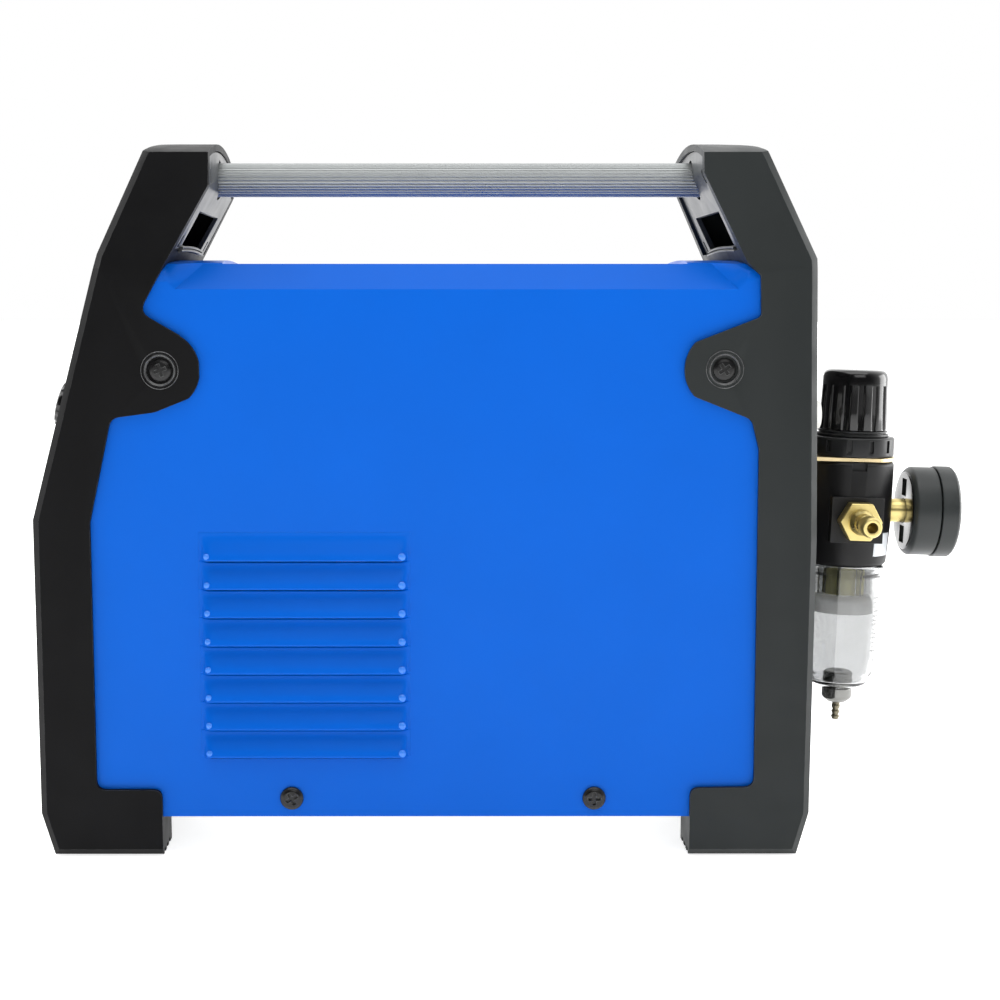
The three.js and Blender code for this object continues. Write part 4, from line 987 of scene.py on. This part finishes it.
# ---------- bracket ----------
def bracket():
    """Zinc plate with a round end that follows the lock ring."""
    made = piece("bracket_plate", copied("regulator_bracket"), ZINC, "regulator_bracket")
    outline = []
    for i in range(33):
        turn = math.radians(-90 + 180 * i / 32)
        outline.append((REG_X + BRACKET_ROUND * math.cos(turn), BRACKET_ROUND * math.sin(turn)))
    outline += [(REG_X, 50), (REG_X + 50, 50), (REG_X + 50, -50), (REG_X, -50)]
    carve(made, cutter_placed(prism(outline, REG_Z - 6, REG_Z + 8), at(0, 0, 0)))
    ease(made, 0.25)


bracket()


# ---------- fan ----------
def grille():
    """Rings of wire on four rods."""
    place = aimed(REAR_PANEL_X, 0, FAN_Z, (1, 0, 0))
    parts = []
    for radius in GRILLE_RINGS:
        wire = []
        for i in range(9):
            turn = 2 * math.pi * i / 8
            across = radius + GRILLE_WIRE * math.cos(turn)
            wire.append((across, GRILLE_OUT + GRILLE_WIRE * math.sin(turn)))
        parts.append((lathe(wire, 96), place))
    for i in range(4):
        rod = lathe([(0, -42), (0.7, -42), (0.7, 42), (0, 42)], 12)
        spin = Matrix.Rotation(math.radians(45 * i), 4, "Z")
        lift = Matrix.Translation((0, 0, GRILLE_OUT))
        lie = spin @ lift @ Matrix.Rotation(math.pi / 2, 4, "X")
        parts.append((rod, place @ lie))
    piece("fan_guard", merged(*parts), STEEL, "fan_grille")


def fan_blade():
    """Twisted blade as one sheet, from the hub outward."""
    blade = bmesh.new()
    rows = []
    for r in range(7):
        radius = HUB_RADIUS + BLADE_SPAN * r / 6
        row = []
        for c in range(7):
            t = c / 6 - 0.5
            turn = t * (0.95 - 0.25 * r / 6) + 0.12 * r / 6
            height = 9.9 - 14 * t + 2.2 * (0.25 - t * t)
            row.append(blade.verts.new((radius * math.cos(turn), radius * math.sin(turn), height)))
        rows.append(row)
    join_rings(blade, rows, closed=False)
    return blade


def fan():
    """Hub and blades, which turn together."""
    place = aimed(REAR_PANEL_X - FAN_DEPTH, 0, FAN_Z, (1, 0, 0))
    hub = lathe(softened([(0, 1.6), (16.4, 1.6), (16.4, 18.3), (0, 18.3)], 1.2))
    parts = [(hub, place)]
    for i in range(FAN_BLADES):
        spin = Matrix.Rotation(2 * math.pi * i / FAN_BLADES, 4, "Z")
        parts.append((fan_blade(), place @ spin))
    made = piece("fan_blades", merged(*parts), RUBBER, "fan_rotor")
    thick = made.modifiers.new("blade", "SOLIDIFY")
    thick.thickness = 0.9 * MM
    thick.offset = 0


grille()
fan()


# ---------- front controls ----------
def dial_knob():
    """Fluted knob with a white pointer line."""
    place = on_panel(DIAL_Y, DIAL_Z, 1.2)
    steps = 128
    bm = bmesh.new()
    rings = []
    rows = (
        (14, 0.1, 0), (14, 1.8, 0), (13.4, 2.4, 0), (11.9, 3.4, 0), (11.4, 4.6, 0.5),
        (10.8, 13.2, 0.5), (10.2, 14.4, 0.2), (9.2, 14.9, 0),
    )
    for radius, height, depth in rows:
        ring = []
        for i in range(steps):
            turn = 2 * math.pi * i / steps
            r = radius - depth * (0.5 - 0.5 * math.cos(16 * turn))
            ring.append(bm.verts.new((r * math.cos(turn), r * math.sin(turn), height)))
        rings.append(ring)
    join_rings(bm, rings)
    bm.faces.new(rings[-1])
    bm.faces.new(rings[0])
    piece("current_dial", bm, GLOSS, "current_knob", place=place, angle=40)
    pointer = block(2, 9, -0.5, 0.5, 14.7, 15)
    piece("current_dial_pointer", pointer, PRINT, "current_knob", place=place)


def overlay_print():
    """Graduations and plain borders on the control film, with no lettering."""
    parts = []
    for i in range(DIAL_TICKS + 1):
        turn = math.radians(-DIAL_SWEEP / 2 + i * DIAL_SWEEP / DIAL_TICKS)
        reach = 19.6 if i % 4 == 0 else 18.4
        tick = block(16.5, reach, -0.3, 0.3, 0, INK)
        parts.append((tick, on_panel(DIAL_Y, DIAL_Z, FILM_OUT) @ Matrix.Rotation(turn, 4, "Z")))
    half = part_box("control_overlay")[1][1] / MM - 0.9
    place = on_panel(0, FILM_Z, FILM_OUT)
    lines = (
        (-FILM_HALF, FILM_HALF, -half, BORDER - half),
        (-FILM_HALF, FILM_HALF, half - BORDER, half),
        (-FILM_HALF, BORDER - FILM_HALF, -half, half),
        (FILM_HALF - BORDER, FILM_HALF, -half, half),
    )
    for x0, x1, y0, y1 in lines:
        parts.append((block(x0, x1, y0, y1, 0, INK), place))
    piece("overlay_graduations", merged(*parts), PRINT, "control_overlay")
    piece("overlay_film", copied("control_overlay"), GLOSS, "control_overlay")


dial_knob()
overlay_print()

# ---------- CAD nodes that stay ----------
KEPT = (
    (SCREW, ("front_handle_bolt", "rear_handle_bolt")),
    (PANEL, ("front_panel", "rear_panel")),
    (STEEL, ("base_tray",)),
    (GLOSS, ("power_switch_frame", "power_rocker")),
    (WHITE, ("cable_gland",)),
    (RUBBER, ("fan_frame", "earth_socket")),
    (BRASS, ("torch_socket", "earth_contact", "air_outlet_elbow")),
    (STEEL, ("trigger_socket", "current_potentiometer", "solenoid_valve")),
    (STEEL, ("bracket_screw_left", "bracket_screw_right")),
    (GLOSS, ("gauge_needle",)),
    (RED, ("mode_button",)),
    (GREEN_LENS, ("indicator_power",)),
    (AMBER_LENS, ("indicator_air",)),
    (RED_LENS, ("indicator_overheat",)),
    (BOARD, ("main_board",)),
    (ALUMINIUM, ("heat_sink",)),
    (COPPER, ("transformer",)),
)
for material, nodes in KEPT:
    for node in nodes:
        made = frame["nodes"][node]
        made.data.materials.clear()
        made.data.materials.append(material)


# ---------- floor, light and camera ----------
def stage():
    """White paper floor, bright enough that it meets the backdrop without a line."""
    floor_finish = finish("pale_floor", srgb(240, 240, 240), 0.7, grain=60, relief=0.005, variation=0.005)
    shader = floor_finish.node_tree.nodes["Principled BSDF"]
    shader.inputs["Emission Color"].default_value = (1, 1, 1, 1)
    shader.inputs["Emission Strength"].default_value = 0.75
    bm = bmesh.new()
    bmesh.ops.create_grid(bm, x_segments=8, y_segments=8, size=20)
    data = bpy.data.meshes.new("studio_floor")
    bm.to_mesh(data)
    bm.free()
    floor = bpy.data.objects.new("studio_floor", data)
    data.materials.append(floor_finish)
    floor.location.z = -0.0005
    bpy.context.scene.collection.objects.link(floor)


def softbox(name, place, target, width, height, power):
    """Rectangular lamp that faces a target; metres and watts."""
    data = bpy.data.lights.new(name, "AREA")
    data.shape = "RECTANGLE"
    data.size, data.size_y = width, height
    data.energy = power
    lamp = bpy.data.objects.new(name, data)
    lamp.location = place
    lamp.rotation_mode = "QUATERNION"
    lamp.rotation_quaternion = (Vector(target) - Vector(place)).to_track_quat("-Z", "Y")
    bpy.context.scene.collection.objects.link(lamp)


def world_light():
    """Soft light that grows from front to back, behind a backdrop that the camera sees as white."""
    world = bpy.data.worlds.new("studio")
    bpy.context.scene.world = world
    world.use_nodes = True
    tree = world.node_tree
    back = tree.nodes["Background"]
    where = tree.nodes.new("ShaderNodeTexCoord")
    split = tree.nodes.new("ShaderNodeSeparateXYZ")
    tree.links.new(where.outputs["Generated"], split.inputs["Vector"])
    ramp = tree.nodes.new("ShaderNodeMapRange")
    ramp.interpolation_type = "SMOOTHSTEP"
    ramp.inputs["From Min"].default_value = -0.8
    ramp.inputs["From Max"].default_value = 0.4
    ramp.inputs["To Min"].default_value = 0.06
    ramp.inputs["To Max"].default_value = 1.7
    tree.links.new(split.outputs["Y"], ramp.inputs["Value"])
    tree.links.new(ramp.outputs["Result"], back.inputs["Strength"])
    back.inputs["Color"].default_value = (1, 1, 1, 1)
    backdrop = tree.nodes.new("ShaderNodeBackground")
    backdrop.inputs["Color"].default_value = (1, 1, 1, 1)
    rays = tree.nodes.new("ShaderNodeLightPath")
    seen = tree.nodes.new("ShaderNodeMixShader")
    tree.links.new(rays.outputs["Is Camera Ray"], seen.inputs["Fac"])
    tree.links.new(back.outputs["Background"], seen.inputs[1])
    tree.links.new(backdrop.outputs["Background"], seen.inputs[2])
    tree.links.new(seen.outputs["Shader"], tree.nodes["World Output"].inputs["Surface"])


def softboxes():
    softbox("top_softbox", (0.0, -0.45, 1.6), (0, 0, 0.15), 1.8, 0.9, 11)
    softbox("left_softbox", (-1.2, 0.25, 1.2), (0, 0, 0.2), 0.9, 0.9, 9)
    softbox("right_softbox", (1.5, 0.3, 0.35), (0, 0, 0.15), 0.9, 0.9, 12)
    softbox("front_softbox", (0.3, -1.6, 1.3), (0, 0, 0.15), 1.2, 0.8, 6)


def camera():
    """Camera at the photograph's angle."""
    data = bpy.data.cameras.new("camera")
    data.sensor_width = SENSOR_WIDTH
    data.lens = FOCAL_LENGTH
    data.shift_x, data.shift_y = CAMERA_SHIFT
    data.clip_end = 100
    made = bpy.data.objects.new("camera", data)
    x, y, z = CAMERA_SPOT
    made.location = ((x - X_CENTRE) * MM, y * MM, z * MM)
    made.rotation_euler = (math.radians(90 - CAMERA_PITCH), 0, math.radians(CAMERA_YAW))
    bpy.context.scene.collection.objects.link(made)
    bpy.context.scene.camera = made


stage()
world_light()
softboxes()
camera()
bpy.context.scene.view_settings.view_transform = "Standard"
